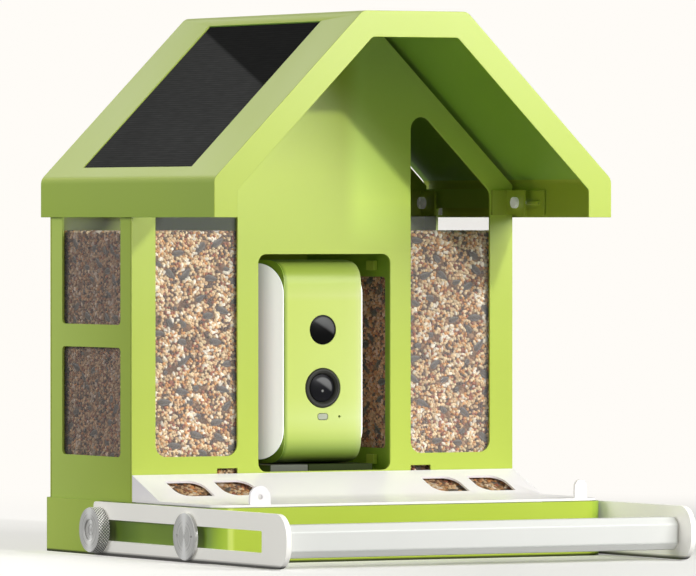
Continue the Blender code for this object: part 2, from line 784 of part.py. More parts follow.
def build_hoppers(clear, seed):
    """The clear hoppers, open at the top, and the seed that fills them."""
    for name, side in SIDES:
        low, high = span(side, HOPPER_INNER, HOPPER_OUTER)
        hopper_low = (low, HOPPER_FRONT, HOPPER_BOTTOM)
        hopper = box(f"{name}_hopper", hopper_low, (high, HOPPER_REAR, HOPPER_TOP), clear)
        room_low = Vector((low + HOPPER_WALL, HOPPER_FRONT + HOPPER_WALL, HOPPER_BOTTOM + HOPPER_WALL))
        room_high = Vector((high - HOPPER_WALL, HOPPER_REAR - HOPPER_WALL, HOPPER_TOP + OVERRUN))
        cut(hopper, box(f"{name}_hopper_room", room_low, room_high))
        slot_low, slot_high = span(side, SEED_WINDOW_INNER, SEED_WINDOW_INNER + FEED_SLOT_WIDTH)
        outlet = box(
            f"{name}_hopper_outlet",
            (slot_low, HOPPER_FRONT - OVERRUN, FEED_SLOT_BOTTOM),
            (slot_high, HOPPER_FRONT + HOPPER_WALL + OVERRUN, FEED_SLOT_TOP),
        )
        cut(hopper, outlet)
        space = Vector((GAP, GAP, GAP))
        seed_high = room_high - space
        seed_high.z = HOPPER_TOP - SEED_HEADROOM
        box(f"{name}_seed_fill", room_low + space, seed_high, seed)


def slope_foot(drop):
    """Where the slope meets the flat ledge, on a surface that lies lower by a drop."""
    return -TRAY_SLOPE_RUN - drop * math.tan(TRAY_ANGLE / 2)


def tray_section(drop, lowest, rear, front):
    """The cover's side view: the slope and the flat ledge, lowered by a drop."""
    slope = (TRAY_TOP - TRAY_FLAT_TOP) / TRAY_SLOPE_RUN
    fall = drop / math.cos(TRAY_ANGLE)
    return [
        (rear, lowest),
        (rear, TRAY_TOP - fall + slope * rear),
        (slope_foot(drop), TRAY_FLAT_TOP - drop),
        (front, TRAY_FLAT_TOP - drop),
        (front, lowest),
    ]


def leaf_outline(middle_x):
    """A leaf-shaped opening, as seen square to the slope: two sharp corners and two round ones."""
    left, right = middle_x - LEAF_WIDTH / 2, middle_x + LEAF_WIDTH / 2
    low, high = -LEAF_LENGTH / 2, LEAF_LENGTH / 2
    across, up = LEAF_CURVE_SIZE
    upper = arc((right - across, high - up), LEAF_CURVE_SIZE, math.pi / 2, 0)
    lower = arc((left + across, low + up), LEAF_CURVE_SIZE, -math.pi / 2, -math.pi)
    return [(left, high), *upper, (right, low), *lower]


def build_tray_cover(white):
    """The white cover in front of the house: slope, ledge, leaf openings and two ears."""
    section = tray_section(0, TRAY_FLAT_BOTTOM, -GAP, TRAY_FRONT - OVERRUN)
    cover = plate("tray_cover", [section], 2 * TRAY_HALF, (0, 0, 0), FACING_SIDE, white)
    hollow = tray_section(TRAY_THICKNESS, TRAY_FLAT_BOTTOM - OVERRUN, OVERRUN, TRAY_FRONT - 2 * OVERRUN)
    hollow = hollow[:3] + [(hollow[2][0], hollow[0][1])]
    inside = plate("tray_inside", [hollow], 2 * (TRAY_HALF - TRAY_CHEEK), (0, 0, 0), FACING_SIDE)
    cut(cover, inside)
    half = BASE_HALF - TRAY_INSET
    plan_rear = OVERRUN
    plan = [(half, TRAY_FRONT), (half, plan_rear), (-half, plan_rear), (-half, TRAY_FRONT)]
    radius = BASE_FRONT_RADIUS - TRAY_INSET
    outline = rounded(plan, [radius, 0, 0, radius])
    limit = plate("tray_plan", [outline], 2 * TRAY_TOP, (0, 0, TRAY_TOP), FACING_UP)
    keep_inside(cover, limit)
    run = -TRAY_SLOPE_RUN * LEAF_PLACE_SHARE
    rise = TRAY_TOP + (TRAY_FLAT_TOP - TRAY_TOP) * LEAF_PLACE_SHARE
    for name, side in SIDES:
        for count, step in (("inner", -1), ("outer", 1)):
            middle = side * (SEED_WINDOW_MIDDLE + step * LEAF_PITCH / 2) + LEAF_SHIFT
            leaf = leaf_outline(middle)
            cutter = plate(
                f"{name}_{count}_leaf", [leaf], 2 * OVERRUN, (0, run, rise), (TRAY_ANGLE, 0, 0)
            )
            cut(cover, cutter)
    add_ear(cover, "left", -BASE_HALF + LEFT_EAR_INSET, LEFT_EAR_WIDTH, LEFT_EAR_HOLE_RADIUS)
    add_ear(cover, "right", BASE_HALF - RIGHT_EAR_INSET, RIGHT_EAR_WIDTH, 0)


def add_ear(cover, name, x, width, hole_radius):
    """A round-topped ear on the ledge's front edge, with a small notch beside it."""
    root = TRAY_FLAT_BOTTOM + TRAY_THICKNESS / 2
    top = TRAY_FLAT_TOP + EAR_HEIGHT
    half = width / 2
    outline = [(x - half, root), (x + half, root)] + arc((x, top - half), (half, half), 0, math.pi)
    y = TRAY_FRONT + EAR_SETBACK + EAR_THICKNESS / 2
    outlines = [outline]
    if hole_radius:
        outlines.append(circle((x, top - half), hole_radius, 2 * ARC_STEPS))
    ear = plate(f"{name}_ear", outlines, EAR_THICKNESS, (0, y, 0), FACING_FRONT)
    join(cover, ear)
    across, deep = EAR_NOTCH_SIZE
    right = x - half - EAR_NOTCH_GAP
    notch = box(
        f"{name}_ear_notch",
        (right - across, y - deep / 2, TRAY_FLAT_BOTTOM - OVERRUN),
        (right, y + deep / 2, TRAY_FLAT_TOP + OVERRUN),
    )
    cut(cover, notch)


def build_trough(white, seed):
    """The seed trough under the cover's slope, and a heap of seed on each side."""
    half = BASE_INNER_HALF - TROUGH_SIDE_GAP
    drop = TRAY_THICKNESS + HEAP_DEPTH_UNDER_COVER
    front, rear = slope_foot(drop) - TROUGH_FRONT_GAP - TROUGH_WALL, -GAP
    low = BASE_FLOOR + GAP
    trough = box("seed_trough", (-half, front, low), (half, rear, BASE_HEIGHT), white)
    room = box(
        "trough_room",
        (-half + TROUGH_WALL, front + TROUGH_WALL, low + TROUGH_WALL),
        (half - TROUGH_WALL, rear - TROUGH_WALL, BASE_HEIGHT + OVERRUN),
    )
    cut(trough, room)
    heap_rear = rear - TROUGH_WALL - GAP
    heap_front = front + TROUGH_WALL + GAP
    section = tray_section(drop, low + TROUGH_WALL + GAP, heap_rear, heap_front)
    width = LEAF_PITCH + LEAF_WIDTH + 2 * HEAP_SIDE_MARGIN
    for name, side in SIDES:
        location = (side * SEED_WINDOW_MIDDLE, 0, 0)
        plate(f"{name}_tray_seed", [section], width, location, FACING_SIDE, seed)


def build_roof(green):
    """The folded roof shell with its front rim, open at the rear."""
    depth = ROOF_FRONT_OVERHANG + ROOF_REAR
    middle = (ROOF_REAR - ROOF_FRONT_OVERHANG) / 2
    outer = roof_outline(0, EAVE_HEIGHT, ROOF_BEND_RADIUS)
    shell = plate("roof_shell", [outer], depth, (0, middle, 0), FACING_FRONT, green)
    low = EAVE_HEIGHT - OVERRUN
    inner = roof_outline(SHEET, low, ROOF_BEND_RADIUS - SHEET)
    length = depth - SHEET + OVERRUN
    start = -ROOF_FRONT_OVERHANG + SHEET
    cut(shell, plate("roof_inside", [inner], length, (0, start + length / 2, 0), FACING_FRONT))
    mouth = roof_outline(ROOF_RIM_WIDTH, low, RIM_CORNER_RADIUS)
    opening = plate(
        "roof_mouth", [mouth], 2 * OVERRUN, (0, -ROOF_FRONT_OVERHANG, 0), FACING_FRONT
    )
    cut(shell, opening)
    return shell


def slope_point(along, y, depth):
    """A point on the left slope: down from the ridge's bend, and below the outer face."""
    cos, sin = math.cos(ROOF_PITCH), math.sin(ROOF_PITCH)
    return Vector(
        (-RIDGE_HALF - along * cos + depth * sin, y, RIDGE_HEIGHT - along * sin - depth * cos)
    )


def build_solar(shell, cells, black):
    """The solar panel in its opening in the left slope, and the backing that holds it."""
    along = SOLAR_TOP_MARGIN + SOLAR_WIDTH / 2
    y = ROOF_REAR - SOLAR_REAR_MARGIN - SOLAR_LENGTH / 2
    turn = (0, -ROOF_PITCH, 0)
    opening = slab(
        "solar_opening",
        (SOLAR_WIDTH + 2 * GAP, SOLAR_LENGTH + 2 * GAP, 2 * OVERRUN),
        slope_point(along, y, 0),
        turn,
    )
    cut(shell, opening)
    slab(
        "solar_panel",
        (SOLAR_WIDTH, SOLAR_LENGTH, SOLAR_THICKNESS),
        slope_point(along, y, SOLAR_RECESS + SOLAR_THICKNESS / 2),
        turn,
        cells,
    )
    lip = SHEET + GAP
    seat = max(lip, SOLAR_RECESS + SOLAR_THICKNESS + GAP)
    floor = seat + SOLAR_BACKING_THICKNESS
    backing = slab(
        "solar_backing",
        (SOLAR_WIDTH + 2 * SOLAR_FRAME_LAP, SOLAR_LENGTH + 2 * SOLAR_FRAME_LAP, floor - lip),
        slope_point(along, y, (floor + lip) / 2),
        turn,
        black,
    )
    pocket = slab(
        "solar_pocket",
        (SOLAR_WIDTH + 2 * GAP, SOLAR_LENGTH + 2 * GAP, 2 * (seat - lip)),
        slope_point(along, y, lip),
        turn,
    )
    cut(backing, pocket)


def build_brackets(green, steel):
    """The front lock brackets and screws, and the rear pivot brackets and pins."""
    for name, side in SIDES:
        add_bracket(f"{name}_lock_bracket", side, -GAP, -BRACKET_REACH, -LOCK_SETBACK, LOCK_RADIUS, green)
        rear = BODY_INNER_REAR
        reach = rear - PIVOT_BRACKET_REACH
        add_bracket(f"{name}_pivot_bracket", side, rear, reach, PIVOT_Y, PIVOT_RADIUS, green)
        add_pin(
            f"{name}_lock_screw",
            side,
            -LOCK_SETBACK,
            (LOCK_RADIUS, LOCK_HEAD_RADIUS, LOCK_HEAD_THICKNESS),
            KEEPER_INNER - GAP,
            steel,
        )
        add_pin(
            f"{name}_pivot_pin",
            side,
            PIVOT_Y,
            (PIVOT_RADIUS, PIVOT_HEAD_RADIUS, PIVOT_HEAD_THICKNESS),
            KEEPER_OUTER,
            steel,
        )


def add_bracket(name, side, foot_y, reach_y, hole_y, hole_radius, material):
    """An L-shaped bracket: a foot on a gable panel and a leaf that stands off it."""
    thick = math.copysign(SHEET, reach_y - foot_y)
    foot_inner = BRACKET_OUTER - BRACKET_FOOT
    outline = [
        (foot_inner, foot_y),
        (BRACKET_OUTER, foot_y),
        (BRACKET_OUTER, reach_y),
        (BRACKET_INNER, reach_y),
        (BRACKET_INNER, foot_y + thick),
        (foot_inner, foot_y + thick),
    ]
    bracket = plate(
        name, [mirrored(outline, side)], BRACKET_HEIGHT, (0, 0, BRACKET_MIDDLE), FACING_UP, material
    )
    hole = cylinder(
        f"{name}_hole",
        hole_radius + GAP,
        (side * (BRACKET_INNER - OVERRUN), hole_y, BRACKET_MIDDLE),
        (side * (BRACKET_OUTER + OVERRUN), hole_y, BRACKET_MIDDLE),
    )
    cut(bracket, hole)


def add_pin(name, side, y, sizes, end, steel):
    """A headed pin through a bracket, pointing outwards."""
    radius, head_radius, head = sizes
    length = end - BRACKET_INNER + GAP
    profile = [(0, length), (radius, length), (radius, 0), (head_radius, 0), (head_radius, -head), (0, -head)]
    start = (side * (BRACKET_INNER - GAP), y, BRACKET_MIDDLE)
    turned(name, profile, start, (side, 0, 0), steel)


def build_keepers(green, steel):
    """The plates inside the roof's fascia that meet the lock screws and the pivot pins."""
    for name, side in SIDES:
        low, high = span(side, KEEPER_INNER, KEEPER_OUTER)
        bottom, top = BRACKET_BOTTOM, BRACKET_BOTTOM + BRACKET_HEIGHT
        rear = -KEEPER_FRONT + KEEPER_LENGTH
        keeper = box(f"{name}_keeper_plate", (low, -KEEPER_FRONT, bottom), (high, rear, top), green)
        proud, length, tall = KEEPER_BAR_SIZE
        bar_low, bar_high = span(side, KEEPER_INNER - proud, KEEPER_INNER + KEEPER_THICKNESS / 2)
        front = -KEEPER_FRONT + KEEPER_BAR_FRONT
        bar = box(
            f"{name}_keeper_bar",
            (bar_low, front, BRACKET_MIDDLE - tall / 2),
            (bar_high, front + length, BRACKET_MIDDLE + tall / 2),
        )
        join(keeper, bar)
        half = PIVOT_PLATE_LENGTH / 2
        pivot = box(
            f"{name}_pivot_plate", (low, PIVOT_Y - half, bottom), (high, PIVOT_Y + half, top), steel
        )
        hole = cylinder(
            f"{name}_pivot_hole",
            PIVOT_RADIUS + GAP,
            (side * (KEEPER_INNER - OVERRUN), PIVOT_Y, BRACKET_MIDDLE),
            (side * (KEEPER_OUTER + OVERRUN), PIVOT_Y, BRACKET_MIDDLE),
        )
        cut(pivot, hole)


def build_perch(ivory, white):
    """The perch: two slotted arms and the rail between them."""
    bottom, top = ARM_LIFT, ARM_LIFT + ARM_HEIGHT
    corners = [(-ARM_REACH, bottom), (ARM_REAR_END, bottom), (ARM_REAR_END, top), (-ARM_REACH, top)]
    outline = rounded(corners, [ARM_NOSE_RADIUS, ARM_TAIL_RADIUS, ARM_TAIL_RADIUS, ARM_NOSE_RADIUS])
    slot = rectangle(SLOT_FRONT, SLOT_REAR, SLOT_BOTTOM, SLOT_BOTTOM + SLOT_HEIGHT, SLOT_CORNER_RADIUS)
    for name, side in SIDES:
        location = (side * (ARM_INNER + ARM_THICKNESS / 2), 0, 0)
        plate(f"{name}_perch_arm", [outline, slot], ARM_THICKNESS, location, FACING_SIDE, ivory)
    front = -ARM_REACH + RAIL_SETBACK
    rear = front + RAIL_DEPTH
    low, high, chamfer = RAIL_BOTTOM, RAIL_BOTTOM + RAIL_HEIGHT, RAIL_CHAMFER
    section = [
        (front + chamfer, low),
        (rear - chamfer, low),
        (rear, low + chamfer),
        (rear, high - chamfer),
        (rear - chamfer, high),
        (front + chamfer, high),
        (front, high - chamfer),
        (front, low + chamfer),
    ]
    plate("perch_rail", [section], 2 * (ARM_INNER - GAP), (0, 0, 0), FACING_SIDE, white)


def build_perch_fasteners(steel):
    """The studs with their thumb nuts, and the guide screws with their nuts."""
    for name, side in SIDES:
        add_stud(name, side, steel)
        add_thumb_nut(name, side, steel)
        add_guide_screw(name, side, steel)


def add_stud(name, side, steel):
    """A stud that holds the body in the base, with its head against the side panel's inner face."""
    wall = BODY_INNER_HALF - GAP
    tip = ARM_OUTER + GAP + THUMB_NUT_THICKNESS - THUMB_NUT_RECESS_DEPTH
    length = tip - wall
    profile = [
        (0, length),
        (STUD_RADIUS, length),
        (STUD_RADIUS, 0),
        (STUD_HEAD_RADIUS, 0),
        (STUD_HEAD_RADIUS, -STUD_HEAD_THICKNESS),
        (0, -STUD_HEAD_THICKNESS),
    ]
    turned(f"{name}_stud", profile, (side * wall, STUD_Y, SLOT_MIDDLE), (side, 0, 0), steel)


def add_thumb_nut(name, side, steel):
    """A round thumb nut on the stud, with a hub that runs in the arm's slot."""
    start = BASE_HALF + GAP
    hub = ARM_OUTER + GAP - start
    face = hub + THUMB_NUT_THICKNESS
    bore = STUD_RADIUS + GAP
    floor = face - THUMB_NUT_RECESS_DEPTH
    profile = [
        (bore, floor),
        (THUMB_NUT_RECESS_RADIUS, floor),
        (THUMB_NUT_RECESS_RADIUS, face),
        (THUMB_NUT_RADIUS - THUMB_NUT_EDGE, face),
        (THUMB_NUT_RADIUS, face - THUMB_NUT_EDGE),
        (THUMB_NUT_RADIUS, hub + THUMB_NUT_EDGE),
        (THUMB_NUT_RADIUS - THUMB_NUT_EDGE, hub),
        (HUB_RADIUS, hub),
        (HUB_RADIUS, 0),
        (bore, 0),
    ]
    location = (side * start, STUD_Y, SLOT_MIDDLE)
    turned(f"{name}_thumb_nut", profile, location, (side, 0, 0), steel, closed=True)


def add_guide_screw(name, side, steel):
    """A shouldered screw with a thin disc head and two spanner holes, and its nut."""
    y = -GUIDE_SCREW_SETBACK
    start = BASE_HALF + GAP
    hub = ARM_OUTER + GAP - start
    face = hub + GUIDE_DISC_THICKNESS
    nut_outer = BASE_INNER_HALF - GAP
    nut_inner = nut_outer - GUIDE_NUT_THICKNESS
    tail = nut_inner - GUIDE_SHANK_END - start
    profile = [
        (0, face),
        (GUIDE_DISC_RADIUS - GUIDE_DISC_EDGE, face),
        (GUIDE_DISC_RADIUS, face - GUIDE_DISC_EDGE),
        (GUIDE_DISC_RADIUS, hub + GUIDE_DISC_EDGE),
        (GUIDE_DISC_RADIUS - GUIDE_DISC_EDGE, hub),
        (HUB_RADIUS, hub),
        (HUB_RADIUS, 0),
        (STUD_RADIUS, 0),
        (STUD_RADIUS, tail),
        (0, tail),
    ]
    screw = turned(f"{name}_guide_screw", profile, (side * start, y, SLOT_MIDDLE), (side, 0, 0), steel)
    disc_face = start + face
    for count, step in (("front", -1), ("rear", 1)):
        hole_y = y + step * SPANNER_HOLE_PLACE_SHARE * GUIDE_DISC_RADIUS
        hole = cylinder(
            f"{name}_{count}_spanner_hole",
            SPANNER_HOLE_RADIUS,
            (side * (disc_face - SPANNER_HOLE_DEPTH), hole_y, SLOT_MIDDLE),
            (side * (disc_face + OVERRUN), hole_y, SLOT_MIDDLE),
            sides=2 * ARC_STEPS,
        )
        cut(screw, hole)
    nut = cylinder(
        f"{name}_guide_nut",
        GUIDE_NUT_RADIUS,
        (side * nut_inner, y, SLOT_MIDDLE),
        (side * nut_outer, y, SLOT_MIDDLE),
        steel,
        sides=GUIDE_NUT_SIDES,
    )
    bore = cylinder(
        f"{name}_guide_nut_bore",
        STUD_RADIUS + GAP,
        (side * (nut_inner - OVERRUN), y, SLOT_MIDDLE),
        (side * (nut_outer + OVERRUN), y, SLOT_MIDDLE),
    )
    cut(nut, bore)


def camera_outline(inset):
    """The casing's side view, moved inwards by an inset: soft front corners, rounder than the rear."""
    front = CAMERA_FACE_SETBACK + inset
    rear = CAMERA_FACE_SETBACK + CAMERA_DEPTH - inset
    low = CAMERA_BOTTOM + CAMERA_SIDE_STEP + inset
    high = CAMERA_BOTTOM + CAMERA_HEIGHT - CAMERA_SIDE_STEP - inset
    deep = CAMERA_FRONT_CURVE_DEPTH - inset
    tall = CAMERA_FRONT_CURVE_HEIGHT - inset
    radius = CAMERA_REAR_RADIUS - inset
    steps = 2 * ARC_STEPS
    quarter = math.pi / 2
    return (
        arc((front + deep, low + tall), (deep, tall), -2 * quarter, -quarter, steps)
        + arc((rear - radius, low + radius), (radius, radius), -quarter, 0)
        + arc((rear - radius, high - radius), (radius, radius), 0, quarter)
        + arc((front + deep, high - tall), (deep, tall), quarter, 2 * quarter, steps)
    )


def camera_cover_outline():
    """The cover's side view: it stands above the casing's sides and has squarer corners."""
    front, rear = CAMERA_FACE_SETBACK, CAMERA_FACE_SETBACK + CAMERA_DEPTH
    low, high = CAMERA_BOTTOM, CAMERA_BOTTOM + CAMERA_HEIGHT
    deep, tall = CAMERA_FRONT_CURVE_DEPTH, CAMERA_COVER_CURVE_HEIGHT
    corner = [
        (deep * (1 - across ** (2 / CAMERA_COVER_POWER)), tall * (1 - up ** (2 / CAMERA_COVER_POWER)))
        for across, up in arc((0, 0), (1, 1), 0, math.pi / 2, 2 * ARC_STEPS)[1:-1]
    ]
    corner = [(0, tall), *corner, (deep, 0)]
    upper = [(front + across, high - drop) for across, drop in corner]
    lower = [(front + across, low + rise) for across, rise in reversed(corner)]
    return upper + [(rear, high), (rear, low)] + lower


def build_camera(green, white):
    """The camera's white casing, open at the front, and the green cover that wraps round it."""
    casing = plate("camera_casing", [camera_outline(0)], CAMERA_WIDTH, (0, 0, 0), FACING_SIDE, white)
    cover_half = CAMERA_HALF - CAMERA_RIM - GAP
    cover_rear = CAMERA_FACE_SETBACK + CAMERA_COVER_DEPTH
    seat_outline = camera_outline(CAMERA_COVER_THICKNESS + GAP)
    ring = plate(
        "camera_seat",
        [camera_outline(-OVERRUN), seat_outline],
        2 * (cover_half + GAP),
        (0, 0, 0),
        FACING_SIDE,
    )
    low, high = CAMERA_BOTTOM - 2 * OVERRUN, CAMERA_BOTTOM + CAMERA_HEIGHT + 2 * OVERRUN
    reach = box(
        "camera_seat_reach",
        (-CAMERA_WIDTH, -CAMERA_DEPTH, low),
        (CAMERA_WIDTH, cover_rear + GAP, high),
    )
    keep_inside(ring, reach)
    cut(casing, ring, "MANIFOLD")
    cavity = plate(
        "camera_cavity",
        [camera_outline(CAMERA_CAVITY_INSET)],
        2 * (CAMERA_HALF - CAMERA_WALL),
        (0, 0, 0),
        FACING_SIDE,
    )
    cut(casing, cavity, "MANIFOLD")
    mouth = box(
        "camera_mouth",
        (-CAMERA_HALF + 2 * CAMERA_WALL, -OVERRUN, CAMERA_BOTTOM + CAMERA_MOUTH_MARGIN),
        (
            CAMERA_HALF - 2 * CAMERA_WALL,
            CAMERA_INSIDE + OVERRUN,
            CAMERA_BOTTOM + CAMERA_HEIGHT - CAMERA_MOUTH_MARGIN,
        ),
    )
    cut(casing, mouth, "MANIFOLD")
    cover = plate(
        "camera_cover",
        [camera_cover_outline(), camera_outline(CAMERA_COVER_THICKNESS)],
        2 * cover_half,
        (0, 0, 0),
        FACING_SIDE,
        green,
    )
    cover_reach = box(
        "camera_cover_reach",
        (-CAMERA_WIDTH, -CAMERA_DEPTH, low),
        (CAMERA_WIDTH, cover_rear, high),
    )
    keep_inside(cover, cover_reach)
    for name, radius, x, z in (
        ("lens_hole", LENS_RING_RADIUS + GAP, 0, LENS_Z),
        ("sensor_hole", SENSOR_RADIUS + GAP, 0, SENSOR_Z),
        ("microphone_hole", MICROPHONE_RADIUS, MICROPHONE_OFFSET, STATUS_Z),
    ):
        cut(cover, cylinder(name, radius, (x, -OVERRUN, z), (x, COVER_BACK + OVERRUN, z)))
    across, tall = STATUS_SIZE
    outline = rectangle(
        -across / 2 - GAP,
        across / 2 + GAP,
        STATUS_Z - tall / 2 - GAP,
        STATUS_Z + tall / 2 + GAP,
        tall / 2,
    )
    cut(cover, plate("status_hole", [outline], 2 * OVERRUN, (0, COVER_BACK, 0), FACING_FRONT))


def build_camera_optics(glass, black):
    """The lens, the motion sensor's window and the status window in the camera's face."""
    face = CAMERA_FACE_SETBACK
    ring_front = -LENS_RING_PROUD
    ring_profile = [
        (LENS_RING_BORE, -ring_front),
        (LENS_RING_RADIUS - LENS_RING_PROUD, -ring_front),
        (LENS_RING_RADIUS, 0),
        (LENS_RING_RADIUS, -LENS_RING_DEPTH),
        (LENS_RING_BORE, -LENS_RING_DEPTH),
    ]
    turned("lens_ring", ring_profile, (0, face, LENS_Z), (0, -1, 0), black, closed=True)
    barrel_radius = LENS_RING_BORE - GAP
    barrel_front = -LENS_BARREL_SETBACK
    floor = barrel_front - LENS_GLASS_CROWN - LENS_GLASS_THICKNESS - GAP
    barrel_profile = [
        (LENS_BARREL_BORE, barrel_front),
        (barrel_radius, barrel_front),
        (barrel_radius, barrel_front - LENS_BARREL_DEPTH),
        (0, barrel_front - LENS_BARREL_DEPTH),
        (0, floor),
        (LENS_BARREL_BORE, floor),
    ]
    turned("lens_barrel", barrel_profile, (0, face, LENS_Z), (0, -1, 0), black, closed=True)
    glass_radius = LENS_BARREL_BORE - GAP
    crown = arc((0, 0), (glass_radius, LENS_GLASS_CROWN), math.pi / 2, 0)
    glass_profile = crown + [(glass_radius, -LENS_GLASS_THICKNESS), (0, -LENS_GLASS_THICKNESS)]
    glass_profile[0] = (0, LENS_GLASS_CROWN)
    glass_y = face + LENS_BARREL_SETBACK + LENS_GLASS_CROWN
    turned("lens_glass", glass_profile, (0, glass_y, LENS_Z), (0, -1, 0), glass)
    dome = arc((0, 0), (SENSOR_RADIUS, SENSOR_CROWN), math.pi / 2, 0)
    dome[0] = (0, SENSOR_CROWN)
    dome = dome + [(SENSOR_RADIUS, -SENSOR_THICKNESS), (0, -SENSOR_THICKNESS)]
    turned("sensor_window", dome, (0, face, SENSOR_Z), (0, -1, 0), glass)
    across, tall = STATUS_SIZE
    outline = rectangle(
        -across / 2, across / 2, STATUS_Z - tall / 2, STATUS_Z + tall / 2, tall / 2 - GAP
    )
    y = face + STATUS_THICKNESS / 2
    plate("status_window", [outline], STATUS_THICKNESS, (0, y, 0), FACING_FRONT, glass)


def build_camera_insides(circuit, battery):
    """The circuit board behind the lens, and the battery behind the board."""
    half = CAMERA_HALF - CAMERA_WALL - BOARD_MARGIN
    barrel_end = CAMERA_FACE_SETBACK + LENS_BARREL_SETBACK + LENS_BARREL_DEPTH
    front = barrel_end + GAP
    rear = front + BOARD_THICKNESS
    low = CAMERA_BOTTOM + CAMERA_MOUTH_MARGIN
    high = CAMERA_BOTTOM + CAMERA_HEIGHT - CAMERA_MOUTH_MARGIN
    box("camera_board", (-half, front, low), (half, rear, high), circuit)
    inner_rear = CAMERA_FACE_SETBACK + CAMERA_DEPTH - CAMERA_CAVITY_INSET - GAP
    middle = CAMERA_BOTTOM + CAMERA_HEIGHT / 2
    width = CAMERA_HALF - CAMERA_WALL - BATTERY_MARGIN
    box(
        "camera_battery",
        (-width, inner_rear - BATTERY_DEPTH, middle - BATTERY_HEIGHT / 2),
        (width, inner_rear, middle + BATTERY_HEIGHT / 2),
        battery,
        BATTERY_RADIUS,
        (0, 0, 1),
    )


def carry_moving_pieces():
    """Put each moving group on an empty at its joint. The screws and nuts turn about their origins."""
    roof = ["roof_shell", "solar_panel", "solar_backing"]
    perch = ["perch_rail"]
    for name, _ in SIDES:
        roof += [f"{name}_keeper_plate", f"{name}_pivot_plate"]
        perch.append(f"{name}_perch_arm")
    camera = ["camera_casing", "camera_cover", "camera_board", "camera_battery"]
    camera += ["lens_ring", "lens_barrel", "lens_glass", "sensor_window", "status_window"]
    carry("roof_pivot", (0, PIVOT_Y, BRACKET_MIDDLE), roof)
    carry("perch_guide", (0, STUD_Y, SLOT_MIDDLE), perch)
    carry("tray_guide", (0, TRAY_FRONT, TRAY_FLAT_BOTTOM), ["tray_cover"])
    carry("camera_guide", (0, CAMERA_FACE_SETBACK, CAMERA_BOTTOM), camera)


def main():
    """Build every piece of the feeder."""
    global parts, cutters
    clear_scene()
    parts = new_collection("smart_bird_feeder")
    cutters = new_collection("cutters")
    green, white, steel, seed = green_paint(), white_plastic(), turned_steel(), seed_mix()
    ivory, grey, black, glass = ivory_plastic(), grey_plastic(), black_plastic(), black_glass()
    build_base(green)
    build_gables(green)
    build_side_panels(green)
    build_bay(green, grey)
    build_hoppers(clear_plastic(), seed)
    build_tray_cover(white)
    build_trough(white, seed)
    shell = build_roof(green)
    build_solar(shell, solar_cells(), black)
    build_brackets(green, steel)
    build_keepers(green, steel)
    build_perch(ivory, white)
    build_perch_fasteners(steel)
    build_camera(green, white)
    build_camera_optics(glass, black)
    build_camera_insides(circuit_green(), battery_wrap())
    carry_moving_pieces()


main()
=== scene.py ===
"""Looks of the smart bird feeder: its paint, plastics, steel, solar laminate, camera and seed.

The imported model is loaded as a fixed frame. Sheet and moulded pieces and the solar panel are skins of its
nodes with rounded edges. The thumb nuts, the lens, its bezel, the sensor's dome and the seed are numpy
surfaces.
"""

import logging
import math
from collections.abc import Callable, Sequence
from dataclasses import dataclass, replace
from enum import Enum

import bmesh
import bpy
import numpy as np
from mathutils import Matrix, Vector


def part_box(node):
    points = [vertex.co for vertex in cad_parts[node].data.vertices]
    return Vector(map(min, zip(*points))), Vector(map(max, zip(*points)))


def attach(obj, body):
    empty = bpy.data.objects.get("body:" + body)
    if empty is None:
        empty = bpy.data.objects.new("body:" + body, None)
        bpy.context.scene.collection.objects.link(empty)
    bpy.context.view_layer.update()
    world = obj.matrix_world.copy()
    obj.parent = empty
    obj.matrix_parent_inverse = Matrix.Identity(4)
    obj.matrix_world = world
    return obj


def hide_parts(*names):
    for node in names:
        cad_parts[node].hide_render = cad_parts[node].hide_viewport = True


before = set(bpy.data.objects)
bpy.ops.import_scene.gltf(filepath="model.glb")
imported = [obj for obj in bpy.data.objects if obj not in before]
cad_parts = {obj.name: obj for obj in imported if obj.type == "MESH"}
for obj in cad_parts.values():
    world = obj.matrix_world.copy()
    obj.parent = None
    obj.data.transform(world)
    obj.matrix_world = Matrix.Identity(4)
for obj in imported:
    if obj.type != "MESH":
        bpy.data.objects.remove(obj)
log = logging.getLogger("bird_feeder")

Colour = tuple[float, float, float]
Place = tuple[float, float, float]
Socket = bpy.types.NodeSocket
Outputs = bpy.types.bpy_prop_collection
SIDES = (("left", -1.0), ("right", 1.0))
PLAIN = (1.0, 1.0, 1.0)
KNURL_COUNT = 44
KNURL_PITCH = 0.0020

# An edge past SHARP stays sharp on a numpy surface, and past FOLD on a skin, where faces that turn less than
# FLAT are merged. Corners closer than POLE_GAP on a numpy surface, or SEAM_GAP on a skin, become one.
SHARP = math.radians(40)
FOLD = math.radians(30)
FLAT = math.radians(1)
POLE_GAP = 0.000001
SEAM_GAP = 0.000002


class Body(Enum):
    """The bodies that pieces ride on."""

    HOUSE = "house"
    ROOF = "roof"
    LEFT_LOCK = "left_lock"
    RIGHT_LOCK = "right_lock"
    PERCH = "perch"
    LEFT_CLAMP = "left_clamp"
    RIGHT_CLAMP = "right_clamp"
    TRAY = "tray_lid"
    CAMERA = "camera"


